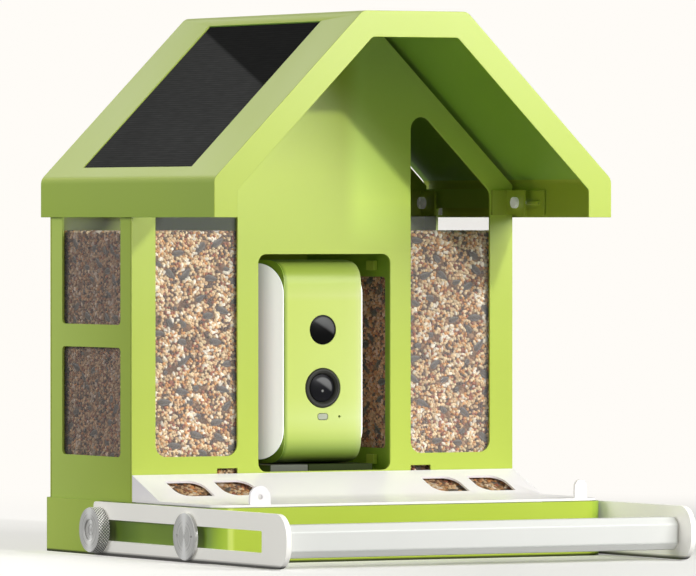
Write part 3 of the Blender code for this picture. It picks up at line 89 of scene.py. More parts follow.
class NodeSheet:
    """Adds and links the nodes of one node tree."""

    def __init__(self, tree: bpy.types.NodeTree) -> None:
        """Keep the tree.

        Args:
            tree: The node tree to fill.
        """
        self.tree = tree

    def feed(self, node: bpy.types.Node, inputs: dict) -> None:
        """Lead sockets and values to a node.

        Args:
            node: The node.
            inputs: Values or sockets for its inputs, by name or index.
        """
        for name, value in inputs.items():
            if isinstance(value, Socket):
                self.tree.links.new(value, node.inputs[name])
            else:
                node.inputs[name].default_value = value

    def add(self, kind: str, inputs: dict | None = None, **settings: object) -> bpy.types.Node:
        """Add a node.

        Args:
            kind: The node's type name, without its ShaderNode prefix.
            inputs: Values or sockets for its inputs, by name or index.
            **settings: The node's own properties.

        Returns:
            The new node.
        """
        node = self.tree.nodes.new(kind if kind.startswith("Node") else "ShaderNode" + kind)
        for name, value in settings.items():
            setattr(node, name, value)
        self.feed(node, inputs or {})
        return node

    def maths(self, operation: str, first: object, second: object = 0.0, third: object = 0.0) -> Socket:
        """Return the output of a Math node on up to three values or sockets."""
        return self.add("Math", {0: first, 1: second, 2: third}, operation=operation).outputs[0]

    def vector(self, operation: str, first: Socket, second: Place = (0.0, 0.0, 0.0)) -> Socket:
        """Return the output of a Vector Math node: a vector from SUBTRACT, a number from the others."""
        node = self.add("VectorMath", {0: first, 1: second}, operation=operation)
        return node.outputs["Vector" if operation == "SUBTRACT" else "Value"]

    def axes(self, place: Socket) -> Outputs:
        """Return the X, Y and Z of a place."""
        return self.add("SeparateXYZ", {0: place}).outputs

    def point(self, x: object, y: object = 0.0, z: object = 0.0) -> Socket:
        """Return a place from its X, Y and Z."""
        return self.add("CombineXYZ", {0: x, 1: y, 2: z}).outputs[0]

    def off_axis(self, parts: Outputs) -> Socket:
        """Return how far a place lies from the X axis."""
        return self.vector("LENGTH", self.point(0.0, parts[1], parts[2]))

    def between(
        self,
        value: Socket,
        start: float,
        end: float,
        low: float = 0.0,
        high: float = 1.0,
        smooth: bool = False,
    ) -> Socket:
        """Return a value carried from one range to another and held at its ends.

        Args:
            value: The value.
            start: Where the change starts.
            end: Where it ends.
            low: The result up to the start.
            high: The result past the end.
            smooth: Whether the change eases in and out.

        Returns:
            The result's socket.
        """
        curve = "SMOOTHSTEP" if smooth else "LINEAR"
        ends = {0: value, 1: start, 2: end, 3: low, 4: high}
        return self.add("MapRange", ends, interpolation_type=curve).outputs[0]

    def noise(self, place: Socket, scale: object, detail: float = 2.0) -> Socket:
        """Return a noise of one scale."""
        return self.add("TexNoise", {"Vector": place, "Scale": scale, "Detail": detail}).outputs[0]

    def bump(self, height: Socket, depth: float) -> Socket:
        """Return the normal that a height mask gives at a depth."""
        return self.add("Bump", {"Height": height, "Distance": depth, "Strength": 1.0}).outputs[0]

    def group(self, name: str, place: Socket, values: dict | None = None) -> Outputs:
        """Place a shared effect and return its outputs."""
        inputs = {"Place": place, **(values or {})}
        return self.add("Group", inputs, node_tree=bpy.data.node_groups[name]).outputs

    def mix(self, factor: object, first: object, second: object, blend: str = "MIX") -> Socket:
        """Return a mix of two colours.

        Args:
            factor: The share of the second colour, a value or socket.
            first: A colour or socket.
            second: A colour or socket.
            blend: The blend type.

        Returns:
            The mixed colour's socket.
        """
        inputs = {0: factor}
        for index, colour in ((6, first), (7, second)):
            inputs[index] = colour if isinstance(colour, Socket) else (*colour, 1.0)
        return self.add("Mix", inputs, data_type="RGBA", blend_type=blend).outputs[2]

    def times(self, first: object, second: object) -> Socket:
        """Return one colour multiplied by another."""
        return self.mix(1.0, first, second, "MULTIPLY")

    def grey(self, value: Socket) -> Socket:
        """Return the grey of a brightness."""
        return self.add("CombineColor", dict.fromkeys(range(3), value)).outputs[0]

    def ramp(self, value: Socket, stops: Sequence[tuple[float, Colour]]) -> Socket:
        """Return a colour read from a ramp.

        Args:
            value: The socket that picks a place on the ramp.
            stops: Places and colours along it, in rising order.

        Returns:
            The colour's socket.
        """
        node = self.add("ValToRGB", {0: value})
        elements = node.color_ramp.elements
        for place, colour in stops[1:-1]:
            elements.new(place).color = (*colour, 1.0)
        for element, (place, colour) in zip((elements[0], elements[-1]), (stops[0], stops[-1])):
            element.position = place
            element.color = (*colour, 1.0)
        return node.outputs[0]


class ShaderGroup(NodeSheet):
    """A shared effect: a node group that is built once and placed in each material."""

    def __init__(self, name: str, inputs: dict[str, float], outputs: Sequence[str]) -> None:
        """Start a group.

        Args:
            name: The group's name.
            inputs: Its number inputs and their defaults. A Place input is always added.
            outputs: Its number outputs.
        """
        super().__init__(bpy.data.node_groups.new(name, "ShaderNodeTree"))
        face = self.tree.interface
        face.new_socket("Place", in_out="INPUT", socket_type="NodeSocketVector")
        for label, value in inputs.items():
            face.new_socket(label, in_out="INPUT", socket_type="NodeSocketFloat").default_value = value
        for label in outputs:
            face.new_socket(label, in_out="OUTPUT", socket_type="NodeSocketFloat")
        self.inputs = self.add("NodeGroupInput").outputs
        self.result = self.add("NodeGroupOutput")

    def give(self, **sockets: Socket) -> None:
        """Lead sockets to the group's outputs."""
        self.feed(self.result, sockets)


class MaterialSheet(NodeSheet):
    """The node sheet of a new material, with its shader and its object coordinates."""

    def __init__(self, name: str) -> None:
        """Make the material.

        Args:
            name: Its name.
        """
        self.material = bpy.data.materials.new(name)
        self.material.use_nodes = True
        super().__init__(self.material.node_tree)
        self.shader = self.tree.nodes["Principled BSDF"]
        self.place = self.add("TexCoord").outputs["Object"]

    def dress(self, inputs: dict) -> bpy.types.Material:
        """Lead values and sockets to the shader, and return the material."""
        self.feed(self.shader, inputs)
        return self.material


def build_surface_grain() -> None:
    """Build the grain that paint and moulded plastic share: a fine orange peel and broad patches."""
    defaults = {"Grain Scale": 900.0, "Patch Scale": 14.0, "Patch Depth": 0.05, "Fine Gloss": 0.2}
    group = ShaderGroup("surface_grain", defaults, ("Height", "Tint", "Gloss"))
    inputs = group.inputs
    grain = group.noise(inputs["Place"], inputs["Grain Scale"])
    patch = group.noise(inputs["Place"], inputs["Patch Scale"], 3.0)
    centred, fine = (group.maths("SUBTRACT", noise, 0.5) for noise in (patch, grain))
    tint = group.maths("MULTIPLY_ADD", centred, inputs["Patch Depth"], 1.0)
    gloss = group.maths("MULTIPLY_ADD", fine, inputs["Fine Gloss"], centred)
    group.give(Height=grain, Tint=tint, Gloss=gloss)


def build_turning_marks() -> None:
    """Build the marks of a lathe: fine rings round the X axis of the place that comes in."""
    defaults = {"Ring Scale": 2600.0, "Band Scale": 1300.0, "Swirl": 0.15}
    group = ShaderGroup("turning_marks", defaults, ("Height", "Gloss"))
    inputs = group.inputs
    parts = group.axes(inputs["Place"])
    along = group.maths("MULTIPLY", parts[0], inputs["Swirl"])
    line = group.point(group.maths("ADD", group.off_axis(parts), along))
    rings = group.noise(line, inputs["Ring Scale"], 3.0)
    group.give(Height=rings, Gloss=group.noise(line, inputs["Band Scale"]))


def build_radial_sheen() -> None:
    """Build a painted sheen of turned steel: bright wedges painted by the angle round X, fixed on the piece.

    The sheen is (cos angle) squared, raised to a power that narrows the wedges.
    """
    group = ShaderGroup("radial_sheen", {"Sharpness": 7.0}, ("Sheen",))
    parts = group.axes(group.inputs["Place"])
    wave = group.maths("COSINE", group.maths("ARCTAN2", parts[1], parts[2]))
    square = group.maths("MULTIPLY", wave, wave)
    group.give(Sheen=group.maths("POWER", square, group.inputs["Sharpness"]))


def build_diamond_knurl() -> None:
    """Build a diamond knurl's grooves, dark with painted shade, from two crossing sets of helical lines round
    X.

    A point is in a groove where its phase, in steps round and along, lies near a whole number in either set.
    """
    defaults = {"Count": KNURL_COUNT, "Pitch": KNURL_PITCH, "Inner Radius": 0.0136}
    group = ShaderGroup("diamond_knurl", defaults, ("Groove", "Rim"))
    inputs = group.inputs
    parts = group.axes(inputs["Place"])
    turn = group.maths("DIVIDE", group.maths("ARCTAN2", parts[1], parts[2]), math.tau)
    turn = group.maths("MULTIPLY", turn, inputs["Count"])
    climb = group.maths("DIVIDE", parts[0], inputs["Pitch"])
    sets = []
    for way in ("ADD", "SUBTRACT"):
        phase = group.maths("FRACT", group.maths(way, turn, climb))
        sets.append(group.maths("ABSOLUTE", group.maths("SUBTRACT", phase, 0.5)))
    groove_edge = (0.34, 0.42)
    deep = group.between(group.maths("MAXIMUM", *sets), *groove_edge)
    rim = group.maths("GREATER_THAN", group.off_axis(parts), inputs["Inner Radius"])
    group.give(Groove=group.maths("MULTIPLY", deep, rim), Rim=rim)


@dataclass(frozen=True)
class PaintedShade:
    """Painted light and shade: how a paint's colour is made lighter or darker along one axis.

    Each stop is a place and the red, green and blue that the colour is multiplied by there. Where it has
    limits, the shade holds only between two places of another axis.
    """

    axis: int
    stops: tuple[tuple[float, float, float, float], ...]
    within: tuple[int, float, float] | None = None
    fade: float = 0.0001
    top: float = 3.0

    def lead(self, sheet: MaterialSheet) -> Socket:
        """Return the factor's socket.

        Args:
            sheet: The material's node sheet.

        Returns:
            The colour that the paint is multiplied by. A ramp holds it as a share of the top.
        """
        low, high = self.stops[0][0], self.stops[-1][0]
        parts = sheet.axes(sheet.place)
        stops = []
        for at, *factors in self.stops:
            stops.append(((at - low) / (high - low), tuple(part / self.top for part in factors)))
        share = sheet.between(parts[self.axis], low, high)
        inputs = {0: sheet.ramp(share, stops), "Scale": self.top}
        factor = sheet.add("VectorMath", inputs, operation="SCALE").outputs[0]
        if self.within is None:
            return factor
        axis, start, end = self.within
        rise = sheet.between(parts[axis], start - self.fade, start + self.fade, smooth=True)
        fall = sheet.between(parts[axis], end + self.fade, end - self.fade, smooth=True)
        return sheet.mix(sheet.maths("MULTIPLY", rise, fall), PLAIN, factor)


@dataclass(frozen=True)
class Finish:
    """A finish with a fine grain: satin paint or moulded plastic.

    In each finish, a field that ends in edge says where a mask starts and ends to change, and one that ends
    in rise says what a value is multiplied by and what is then added. Its shade ramps, its contact shade up
    to shade_height, its shade on faces that point down and its glow are painted light and shade.
    """

    name: str
    slot: str
    colour: Colour
    roughness: float = 0.4
    specular: float = 0.4
    grain_scale: float = 900.0
    grain_depth: float = 0.00001
    patch_depth: float = 0.05
    gloss_swing: float = 0.12
    glow: float = 0.0
    shade_height: float = 0.0
    contact_shade_share: float = 0.08
    painted_shades: tuple[PaintedShade, ...] = ()
    underside_shade: Colour = PLAIN

    def build(self) -> bpy.types.Material:
        """Build the material, or return it if it is built already."""
        return bpy.data.materials.get(self.name) or self.make()

    def start(self) -> MaterialSheet:
        """Start the material, with what is the same all over set on its shader.

        Returns:
            The new material's node sheet.
        """
        sheet = MaterialSheet(self.name)
        sheet.dress({"Roughness": self.roughness, "Specular IOR Level": self.specular})
        return sheet

    def rough(self, sheet: MaterialSheet, gloss: Socket) -> Socket:
        """Return the roughness where a gloss mask sways it."""
        return sheet.maths("MULTIPLY_ADD", gloss, self.gloss_swing, self.roughness)

    def light(self, sheet: MaterialSheet, colour: Socket) -> dict:
        """Return the glow: painted light that makes the piece brighter than its lamps light it.

        Args:
            sheet: The material's node sheet; not used here.
            colour: The colour's socket.

        Returns:
            What the shader's emission is fed.
        """
        return {"Emission Color": colour, "Emission Strength": self.glow} if self.glow else {}

    def make(self) -> bpy.types.Material:
        """Make the grained material.

        Returns:
            The new material.
        """
        sheet = self.start()
        values = {"Grain Scale": self.grain_scale, "Patch Depth": self.patch_depth}
        grain = sheet.group("surface_grain", sheet.place, values)
        depth = grain["Tint"]
        # Painted contact shadow: the colour darkens towards the piece's bottom edge, below shade_height.
        if self.shade_height:
            height = sheet.axes(sheet.place)[2]
            foot = sheet.between(height, 0.5 * self.shade_height, self.shade_height, self.contact_shade_share)
            depth = sheet.maths("MULTIPLY", depth, foot)
        colour = sheet.times(self.colour, sheet.grey(depth))
        # Painted light and shade: ramps that make the colour lighter or darker by place on the piece.
        for shade in self.painted_shades:
            colour = sheet.times(colour, shade.lead(sheet))
        # Painted shade: faces that point down take a darker, greener colour.
        if self.underside_shade != PLAIN:
            down = sheet.add("Attribute", attribute_name="facing_down").outputs["Fac"]
            colour = sheet.times(colour, sheet.mix(down, PLAIN, self.underside_shade))
        inputs = {"Base Color": colour, "Roughness": self.rough(sheet, grain["Gloss"])}
        inputs["Normal"] = sheet.bump(grain["Height"], self.grain_depth)
        return sheet.dress({**inputs, **self.light(sheet, colour)})


@dataclass(frozen=True)
class LitCasing(Finish):
    """White plastic with painted light: a glow that grows towards its front."""

    rear_y: float = 0.05
    front_y: float = 0.012
    rear_share: float = 0.02

    def light(self, sheet: MaterialSheet, colour: Socket) -> dict:
        """Return a glow of painted light that grows from the rear to the front and lights nothing round it.

        Args:
            sheet: The material's node sheet.
            colour: The colour's socket.

        Returns:
            What the shader's emission is fed.
        """
        along = sheet.axes(sheet.place)[1]
        rise = sheet.between(along, self.rear_y, self.front_y, self.rear_share * self.glow, self.glow)
        seen = sheet.add("LightPath").outputs["Is Camera Ray"]
        return {"Emission Color": colour, "Emission Strength": sheet.maths("MULTIPLY", rise, seen)}


@dataclass(frozen=True)
class PaintedGlass(Finish):
    """Black glass with painted light: a painted reflection of a lamp, a grey patch above a slanting line, and
    a small bright painted highlight.
    """

    gloss_swing: float = 0.05
    centre: tuple[float, float] = (0.0, 0.0)
    radius: float = 0.009
    slant: float = 0.6
    offset: float = 0.13
    patch: float = 0.13
    reflection_edge: tuple[float, float] = (-0.06, 0.24)
    reflection_rise: tuple[float, float] = (0.45, 0.75)
    rim_edge: tuple[float, float] = (0.97, 0.8)
    highlight_dot: tuple[float, float] | None = None
    highlight_edge: tuple[float, float] = (0.15, 0.04)
    highlight_colour: Colour = (0.28, 0.28, 0.27)

    def make(self) -> bpy.types.Material:
        """Make the glass. The painted reflection lies where up + slant across > offset, all in radii.

        Returns:
            The new material.
        """
        sheet = self.start()
        parts = sheet.axes(sheet.place)
        offsets = (sheet.maths("SUBTRACT", part, at) for part, at in zip((parts[0], parts[2]), self.centre))
        across, up = (sheet.maths("DIVIDE", offset, self.radius) for offset in offsets)
        past = sheet.maths("SUBTRACT", sheet.maths("MULTIPLY_ADD", across, self.slant, up), self.offset)
        inside = sheet.between(past, *self.reflection_edge, smooth=True)
        flat = sheet.point(across, up)
        rim = sheet.between(sheet.vector("LENGTH", flat), *self.rim_edge, smooth=True)
        grain = sheet.group("surface_grain", sheet.place, {"Patch Scale": 160.0, "Patch Depth": 0.5})
        bright = sheet.maths("MULTIPLY_ADD", past, *self.reflection_rise)
        for mask in (inside, rim, grain["Tint"]):
            bright = sheet.maths("MULTIPLY", bright, mask)
        colour = sheet.mix(bright, self.colour, (self.patch,) * 3)
        # Painted highlight: a small bright spot on the glass.
        if self.highlight_dot is not None:
            spot = sheet.vector("DISTANCE", flat, (*self.highlight_dot, 0.0))
            colour = sheet.mix(sheet.between(spot, *self.highlight_edge, smooth=True), colour, self.highlight_colour)
        return sheet.dress({"Base Color": colour, "Roughness": self.rough(sheet, grain["Gloss"])})


@dataclass(frozen=True)
class ClearPlastic(Finish):
    """Clear moulded plastic with a faint grey body."""

    alpha: float = 0.16

    def make(self) -> bpy.types.Material:
        """Make the clear material, a little denser in faint cloudy patches.

        Returns:
            The new material.
        """
        sheet = self.start()
        grain = sheet.group("surface_grain", sheet.place, {"Patch Scale": 30.0, "Patch Depth": 0.3})
        alpha = sheet.maths("MULTIPLY", grain["Tint"], self.alpha)
        return sheet.dress({"Base Color": (*self.colour, 1.0), "Alpha": alpha})


@dataclass(frozen=True)
class TurnedSteel(Finish):
    """Bright steel with the rings that a lathe leaves round an axis along X.

    Each of the ring shares is a value of the ring mask and the share of the colour that is left there.
    """

    specular: float = 0.5
    grain_depth: float = 0.000012
    gloss_swing: float = 0.1
    centre: Place = (0.0, 0.0, 0.0)
    metallic: float = 0.25
    ring_shares: tuple[tuple[float, float], ...] = ((0.35, 0.45), (0.65, 0.80))
    sheen_colour: Colour = (1.0, 1.0, 0.98)
    rim_colour: Colour = (1.0, 0.99, 0.95)
    groove_shade_colour: Colour = (0.015, 0.015, 0.012)
    knurled: bool = False

    def make(self) -> bpy.types.Material:
        """Make the steel, its rings centred on the axis.

        Returns:
            The new material.
        """
        sheet = self.start()
        centred = sheet.vector("SUBTRACT", sheet.place, self.centre)
        rings = sheet.group("turning_marks", centred)
        stops = [(at, tuple(share * part for part in self.colour)) for at, share in self.ring_shares]
        # Painted sheen: bright wedges fixed on the piece by the angle round its axis, a painted highlight.
        sheen = sheet.group("radial_sheen", centred)["Sheen"]
        colour = sheet.mix(sheen, sheet.ramp(rings["Gloss"], stops), self.sheen_colour)
        # The knurl's grooves are near black: painted shade.
        if self.knurled:
            knurl = sheet.group("diamond_knurl", centred)
            colour = sheet.mix(knurl["Rim"], colour, self.rim_colour)
            colour = sheet.mix(knurl["Groove"], colour, self.groove_shade_colour)
        inputs = {"Base Color": colour, "Roughness": self.rough(sheet, rings["Gloss"])}
        inputs |= {"Metallic": self.metallic, "Normal": sheet.bump(rings["Height"], self.grain_depth)}
        return sheet.dress({**inputs, **self.light(sheet, colour)})


@dataclass(frozen=True)
class SolarLaminate(Finish):
    """Black solar cells under a matt film, with fine lines along the panel's length.

    Above a slanting line, from patch_start to patch_end in Y and Z, the film is darker; the lighter film
    below it is a painted reflection.
    """

    gloss_swing: float = 0.1
    slope: Place = (0.7071, 0.0, 0.7071)
    line_pitch: float = 0.0019
    line_edge: tuple[float, float] = (0.12, 0.3)
    line_rise: tuple[float, float] = (0.45, 0.4)
    pale_rise: tuple[float, float] = (2.0, 0.004)
    fibre_scale: Place = (800.0, 70.0, 800.0)
    patch_start: tuple[float, float] = (0.0658, 0.3219)
    patch_end: tuple[float, float] = (-0.0635, 0.2897)
    patch_fade: float = 0.0008
    patch_shade: float = 0.36

    def make(self) -> bpy.types.Material:
        """Make the laminate. Down the slope, a line lies half way between whole numbers of the pitch.

        Returns:
            The new material.
        """
        sheet = self.start()
        place = sheet.place
        down = sheet.vector("DOT_PRODUCT", place, self.slope)
        grain = sheet.group("surface_grain", place, {"Grain Scale": 1500.0, "Patch Depth": 0.4})
        phase = sheet.maths("FRACT", sheet.maths("DIVIDE", down, self.line_pitch))
        wave = sheet.maths("ABSOLUTE", sheet.maths("SUBTRACT", phase, 0.5))
        line = sheet.between(wave, *self.line_edge, 1.0, 0.0)
        streak = sheet.add("Mapping", {"Vector": place, "Scale": self.fibre_scale}).outputs[0]
        fibre = sheet.noise(streak, 1.0)
        shade = sheet.maths("MULTIPLY", sheet.maths("MULTIPLY_ADD", line, *self.line_rise), fibre)
        share, more = self.pale_rise
        ruled = sheet.mix(shade, self.colour, tuple(share * part + more for part in self.colour))
        parts = sheet.axes(place)
        (y0, z0), (y1, z1) = self.patch_start, self.patch_end
        lean = (z0 - z1) / (y0 - y1)
        past = sheet.maths("SUBTRACT", parts[2], sheet.maths("MULTIPLY_ADD", parts[1], lean, z0 - y0 * lean))
        # Painted reflection: the film is lighter below the slanting line.
        patch = sheet.between(past, -self.patch_fade, self.patch_fade, 1.0, self.patch_shade)
        cover = sheet.grey(sheet.maths("MULTIPLY", patch, grain["Tint"]))
        height = sheet.maths("ADD", shade, grain["Height"])
        inputs = {"Base Color": sheet.times(ruled, cover), "Roughness": self.rough(sheet, grain["Gloss"])}
        return sheet.dress({**inputs, "Normal": sheet.bump(height, self.grain_depth)})


@dataclass(frozen=True)
class SeedHusk(Finish):
    """Seed husks. Each seed's own colour and its stripes come with the mesh."""

    gloss_swing: float = 0.25
    mottle_scale: float = 1400.0
    wear: float = 0.3
    stripe_edge: tuple[float, float] = (0.5, 0.85)
    stripe_share: float = 0.4
    stripe_colour: Colour = (0.32, 0.31, 0.30)

    def make(self) -> bpy.types.Material:
        """Make the husk: the seed's colour, mottled, with pale lines where the mesh asks for them.

        Returns:
            The new material.
        """
        sheet = self.start()
        own = sheet.add("Attribute", attribute_name="seed_colour").outputs["Color"]
        stripe = sheet.add("Attribute", attribute_name="stripe").outputs["Fac"]
        mottle = sheet.noise(sheet.place, self.mottle_scale)
        worn = sheet.mix(sheet.maths("MULTIPLY", mottle, self.wear), own, self.colour)
        lines = sheet.between(stripe, *self.stripe_edge, 0.0, self.stripe_share)
        colour = sheet.mix(lines, worn, self.stripe_colour)
        inputs = {"Base Color": colour, "Roughness": self.rough(sheet, mottle)}
        return sheet.dress({**inputs, "Normal": sheet.bump(mottle, self.grain_depth)})


@dataclass(frozen=True)
class SeedBed(Finish):
    """The seed deeper down: small dark grains, seen between the ones in front."""

    cell_scale: float = 520.0
    dark_share: float = 0.35
    middle_colour: Colour = (0.16, 0.07, 0.03)

    def make(self) -> bpy.types.Material:
        """Make the bed, coloured and domed grain by grain.

        Returns:
            The new material.
        """
        sheet = self.start()
        cells = sheet.add("TexVoronoi", {"Vector": sheet.place, "Scale": self.cell_scale}).outputs
        pick = sheet.add("SeparateColor", {0: cells["Color"]}).outputs[0]
        dark = tuple(self.dark_share * part for part in self.colour)
        colour = sheet.ramp(pick, ((0.0, dark), (0.6, self.middle_colour), (1.0, self.colour)))
        dome = sheet.maths("SUBTRACT", 1.0, cells["Distance"])
        return sheet.dress({"Base Color": colour, "Normal": sheet.bump(dome, self.grain_depth)})


# Painted shade and highlight on the base: darker inside the perch arm's slot and darkest in the shadow beside
# the thumb nut, with a painted reflection spot there, lighter to the rear, and a pale painted highlight band
# at the front-left corner.
BASE_SHADES = (
    PaintedShade(
        1,
        (
            (-0.1120, 1.0, 1.03, 0.72), (-0.1115, 0.84, 0.93, 0.68), (-0.1104, 0.79, 0.90, 0.68),
            (-0.1075, 0.66, 0.77, 0.68), (-0.1040, 0.42, 0.54, 0.40), (-0.0960, 0.36, 0.46, 0.36),
            (-0.0220, 0.44, 0.56, 0.42), (-0.0080, 0.32, 0.44, 0.26), (0.0060, 0.23, 0.32, 0.20),
            (0.0150, 0.24, 0.32, 0.22), (0.0200, 0.40, 0.46, 0.44), (0.0260, 0.15, 0.19, 0.20),
            (0.0360, 0.06, 0.08, 0.08), (0.0400, 0.98, 1.05, 1.15), (0.1175, 1.28, 1.32, 1.9),
        ),
    ),
    PaintedShade(
        0,
        (
            (-0.1370, *PLAIN), (-0.1274, *PLAIN), (-0.1266, 1.4, 1.28, 3.0), (-0.1236, 1.4, 1.28, 3.0),
            (-0.1228, *PLAIN), (0.1370, *PLAIN),
        ),
        (1, -0.113, -0.1),
    ),
)
# Painted light on the side panels: darker at the front, lighter and bluer to the rear as a painted
# reflection.
SIDE_SHADES = (PaintedShade(1, ((0.0, 0.84, 0.92, 0.8), (0.1115, 1.2, 1.26, 1.95))),)
# Painted light on the front panel: a little lighter and bluer higher up, and much lighter on the right,
# inside the roof's cast shadow.
FRONT_SHADES = (
    PaintedShade(
        2,
        (
            (0.0340, *PLAIN), (0.1940, 1.0, 1.0, 1.15), (0.2150, 1.04, 1.04, 1.13),
            (0.2350, 1.09, 1.08, 1.1), (0.2600, 1.06, 1.05, 1.1), (0.3100, 1.0, 1.0, 1.2),
        ),
    ),
    PaintedShade(
        2,
        (
            (0.1880, *PLAIN), (0.2050, 1.18, 1.22, 1.3), (0.2180, 1.33, 1.37, 1.5),
            (0.2400, 1.28, 1.36, 1.8), (0.3100, 1.34, 1.38, 2.7),
        ),
        (0, 0.0190, 0.14),
        0.0080,
    ),
)
# Painted light on the roof: the left fascia darker and lighter to the rear, the left slope lighter and bluer
# as a painted reflection.
ROOF_SHADES = (
    PaintedShade(
        0,
        (
            (-0.1380, 0.76, 0.87, 0.78), (-0.1368, 1.30, 1.28, 2.2), (-0.0300, 1.08, 1.09, 1.36),
            (0.0, *PLAIN), (0.1380, *PLAIN),
        ),
        (1, -0.1149, 0.12),
    ),
    PaintedShade(1, ((-0.1150, *PLAIN), (0.1175, 1.18, 1.15, 1.15)), (0, -0.139, -0.1369)),
)
# Painted light and shade on the camera's cover: darker towards its top and bottom, a painted shadow line
# along its left edge, lighter and bluer towards its right edge as a painted reflection, and its left side
# wall much lighter at top and bottom.
COVER_SHADES = (
    PaintedShade(
        2,
        (
            (0.0552, 0.20, 0.24, 0.2), (0.0632, 0.34, 0.42, 0.26), (0.0706, 0.76, 0.81, 0.82),
            (0.0762, 0.94, 0.95, 1.12), (0.0836, 1.02, 1.02, 1.42), (0.0966, 1.0, 1.0, 1.15),
            (0.1560, 1.0, 1.0, 1.02), (0.1595, 1.02, 1.0, 1.25), (0.1669, 0.86, 0.90, 0.72),
            (0.1743, 0.62, 0.68, 0.5), (0.1817, 0.50, 0.56, 0.42),
        ),
    ),
    PaintedShade(
        0,
        (
            (-0.0271, 0.42, 0.50, 0.36), (-0.0262, 0.55, 0.63, 0.45), (-0.0245, 0.97, 0.98, 0.96),
            (0.0150, 1.0, 1.0, 1.16), (0.0225, 1.04, 1.03, 1.3), (0.0258, 1.1, 1.05, 1.7),
            (0.0271, 1.2, 1.12, 2.4),
        ),
    ),
    PaintedShade(
        2,
        (
            (0.0552, 4.4, 4.0, 6.0), (0.0700, 3.7, 3.4, 5.4), (0.0800, *PLAIN),
            (0.1560, *PLAIN), (0.1660, 3.5, 3.2, 5.0), (0.1817, 5.0, 4.6, 6.0),
        ),
        (0, -0.0275, -0.02695),
        top=6.0,
    ),
)
# Painted shade: the camera's casing darker towards its rear.
CASING_SHADES = (PaintedShade(1, ((0.018, *PLAIN), (0.050, 0.6, 0.62, 0.54))),)
# Painted light: the perch rail's lower chamfer lighter.
RAIL_SHADES = (
    PaintedShade(2, ((0.0060, 1.38, 1.38, 1.38), (0.0098, 1.38, 1.38, 1.38), (0.0108, *PLAIN), (0.0264, *PLAIN))),
)
GREEN = Finish("green_powder_coat", "green_paint", (0.46, 0.575, 0.065), 0.32, 0.52)
# The base is painted darker along its bottom edge, a painted contact shadow, and takes the base's ramps.
BASE_GREEN = replace(GREEN, name="green_powder_coat_base", shade_height=0.0020, painted_shades=BASE_SHADES)
SIDE_GREEN = replace(GREEN, name="green_powder_coat_side", painted_shades=SIDE_SHADES)
FRONT_GREEN = replace(GREEN, name="green_powder_coat_front", painted_shades=FRONT_SHADES)
# Roof faces that point down get painted shade, darker and greener.
ROOF_GREEN = replace(GREEN, name="green_powder_coat_roof", painted_shades=ROOF_SHADES, underside_shade=(0.62, 0.9, 0.95))
# A darker, greener copy of the green paint: painted shade inside the camera bay.
SHADED_BAY_GREEN = Finish("green_powder_coat_bay_painted_shade", "green_paint", (0.27, 0.42, 0.035), 0.45, 0.25)
# The ceiling's glow is painted light that lifts it out of the bay's shade.
CEILING_GREEN = replace(SHADED_BAY_GREEN, name="green_powder_coat_ceiling", colour=(0.24, 0.33, 0.12), glow=0.16)
# Near black: painted shade on the shelf under the camera.
SHADED_SHELF_GREEN = Finish("green_powder_coat_shelf_painted_shade", "green_paint", (0.028, 0.04, 0.01), 0.6, 0.08)
CAMERA_PAINT = Finish("camera_green_gloss", "camera_green", (0.575, 0.68, 0.14), 0.36, 0.3, 1400.0, 0.000003)
CAMERA_GREEN = replace(CAMERA_PAINT, painted_shades=COVER_SHADES)
# The tray's white plastic glows a little: painted light.
WHITE = Finish("white_moulded", "white_plastic", (0.93, 0.895, 0.915), 0.3, 0.4, 1200.0, 0.000006, glow=0.05)
CASING_PLASTIC = LitCasing("white_casing", "white_plastic", (0.86, 0.865, 0.825), 0.25, 0.5, 1400.0, 0.000004)
# The casing's glow is painted light, strongest at its front, and its ramp a painted shade.
CASING = replace(CASING_PLASTIC, glow=0.76, painted_shades=CASING_SHADES)
RAIL_PLASTIC = Finish("rail_moulded", "white_plastic", (0.73, 0.735, 0.70), 0.35, 0.4, 1200.0, 0.000006)
RAIL = replace(RAIL_PLASTIC, painted_shades=RAIL_SHADES)
IVORY_PLASTIC = Finish("ivory_moulded", "ivory_plastic", (0.93, 0.91, 0.85), 0.38, 0.4, 1100.0, 0.000008)
# The perch arms glow a little, painted light, and are painted darker along their bottom edges, a painted
# contact shadow.
IVORY = replace(IVORY_PLASTIC, glow=0.16, shade_height=0.0034)
GREY = Finish("grey_pad", "grey_plastic", (0.11, 0.115, 0.09), 0.5, 0.3)
BLACK = Finish("black_moulded", "black_plastic", (0.016, 0.016, 0.017), 0.4, 0.4, 1500.0, 0.000006)
BEZEL = Finish("black_bezel", "black_plastic", (0.036, 0.036, 0.030), 0.5, 0.2, 1500.0, 0.000006)
# The sensor's and the lens's glass carry a painted reflection, a grey patch, and the lens a painted highlight
# spot.
SENSOR = PaintedGlass("sensor_glass", "black_glass", (0.004, 0.004, 0.004), 0.3, 0.06, patch=0.11)
LENS_GLASS = PaintedGlass("lens_glass_gloss", "black_glass", (0.010, 0.010, 0.012), 0.34, 0.06)
LENS = replace(LENS_GLASS, slant=0.65, offset=0.2, patch=0.15, highlight_dot=(-0.05, -0.24))
PALE_WINDOW = Finish("status_diffuser", "black_glass", (0.42, 0.45, 0.35), 0.25, 0.5, 1500.0, 0.000002)
CIRCUIT = Finish("circuit_resist", "circuit_green", (0.02, 0.14, 0.06), 0.35, 0.5, 2500.0, 0.00002, 0.3)
BATTERY = Finish("battery_sleeve", "battery_wrap", (0.07, 0.12, 0.32), 0.3, 0.5)
CLEAR = ClearPlastic("hopper_clear", "clear_plastic", (0.93, 0.92, 0.95), 0.06, 0.5, alpha=0.052)
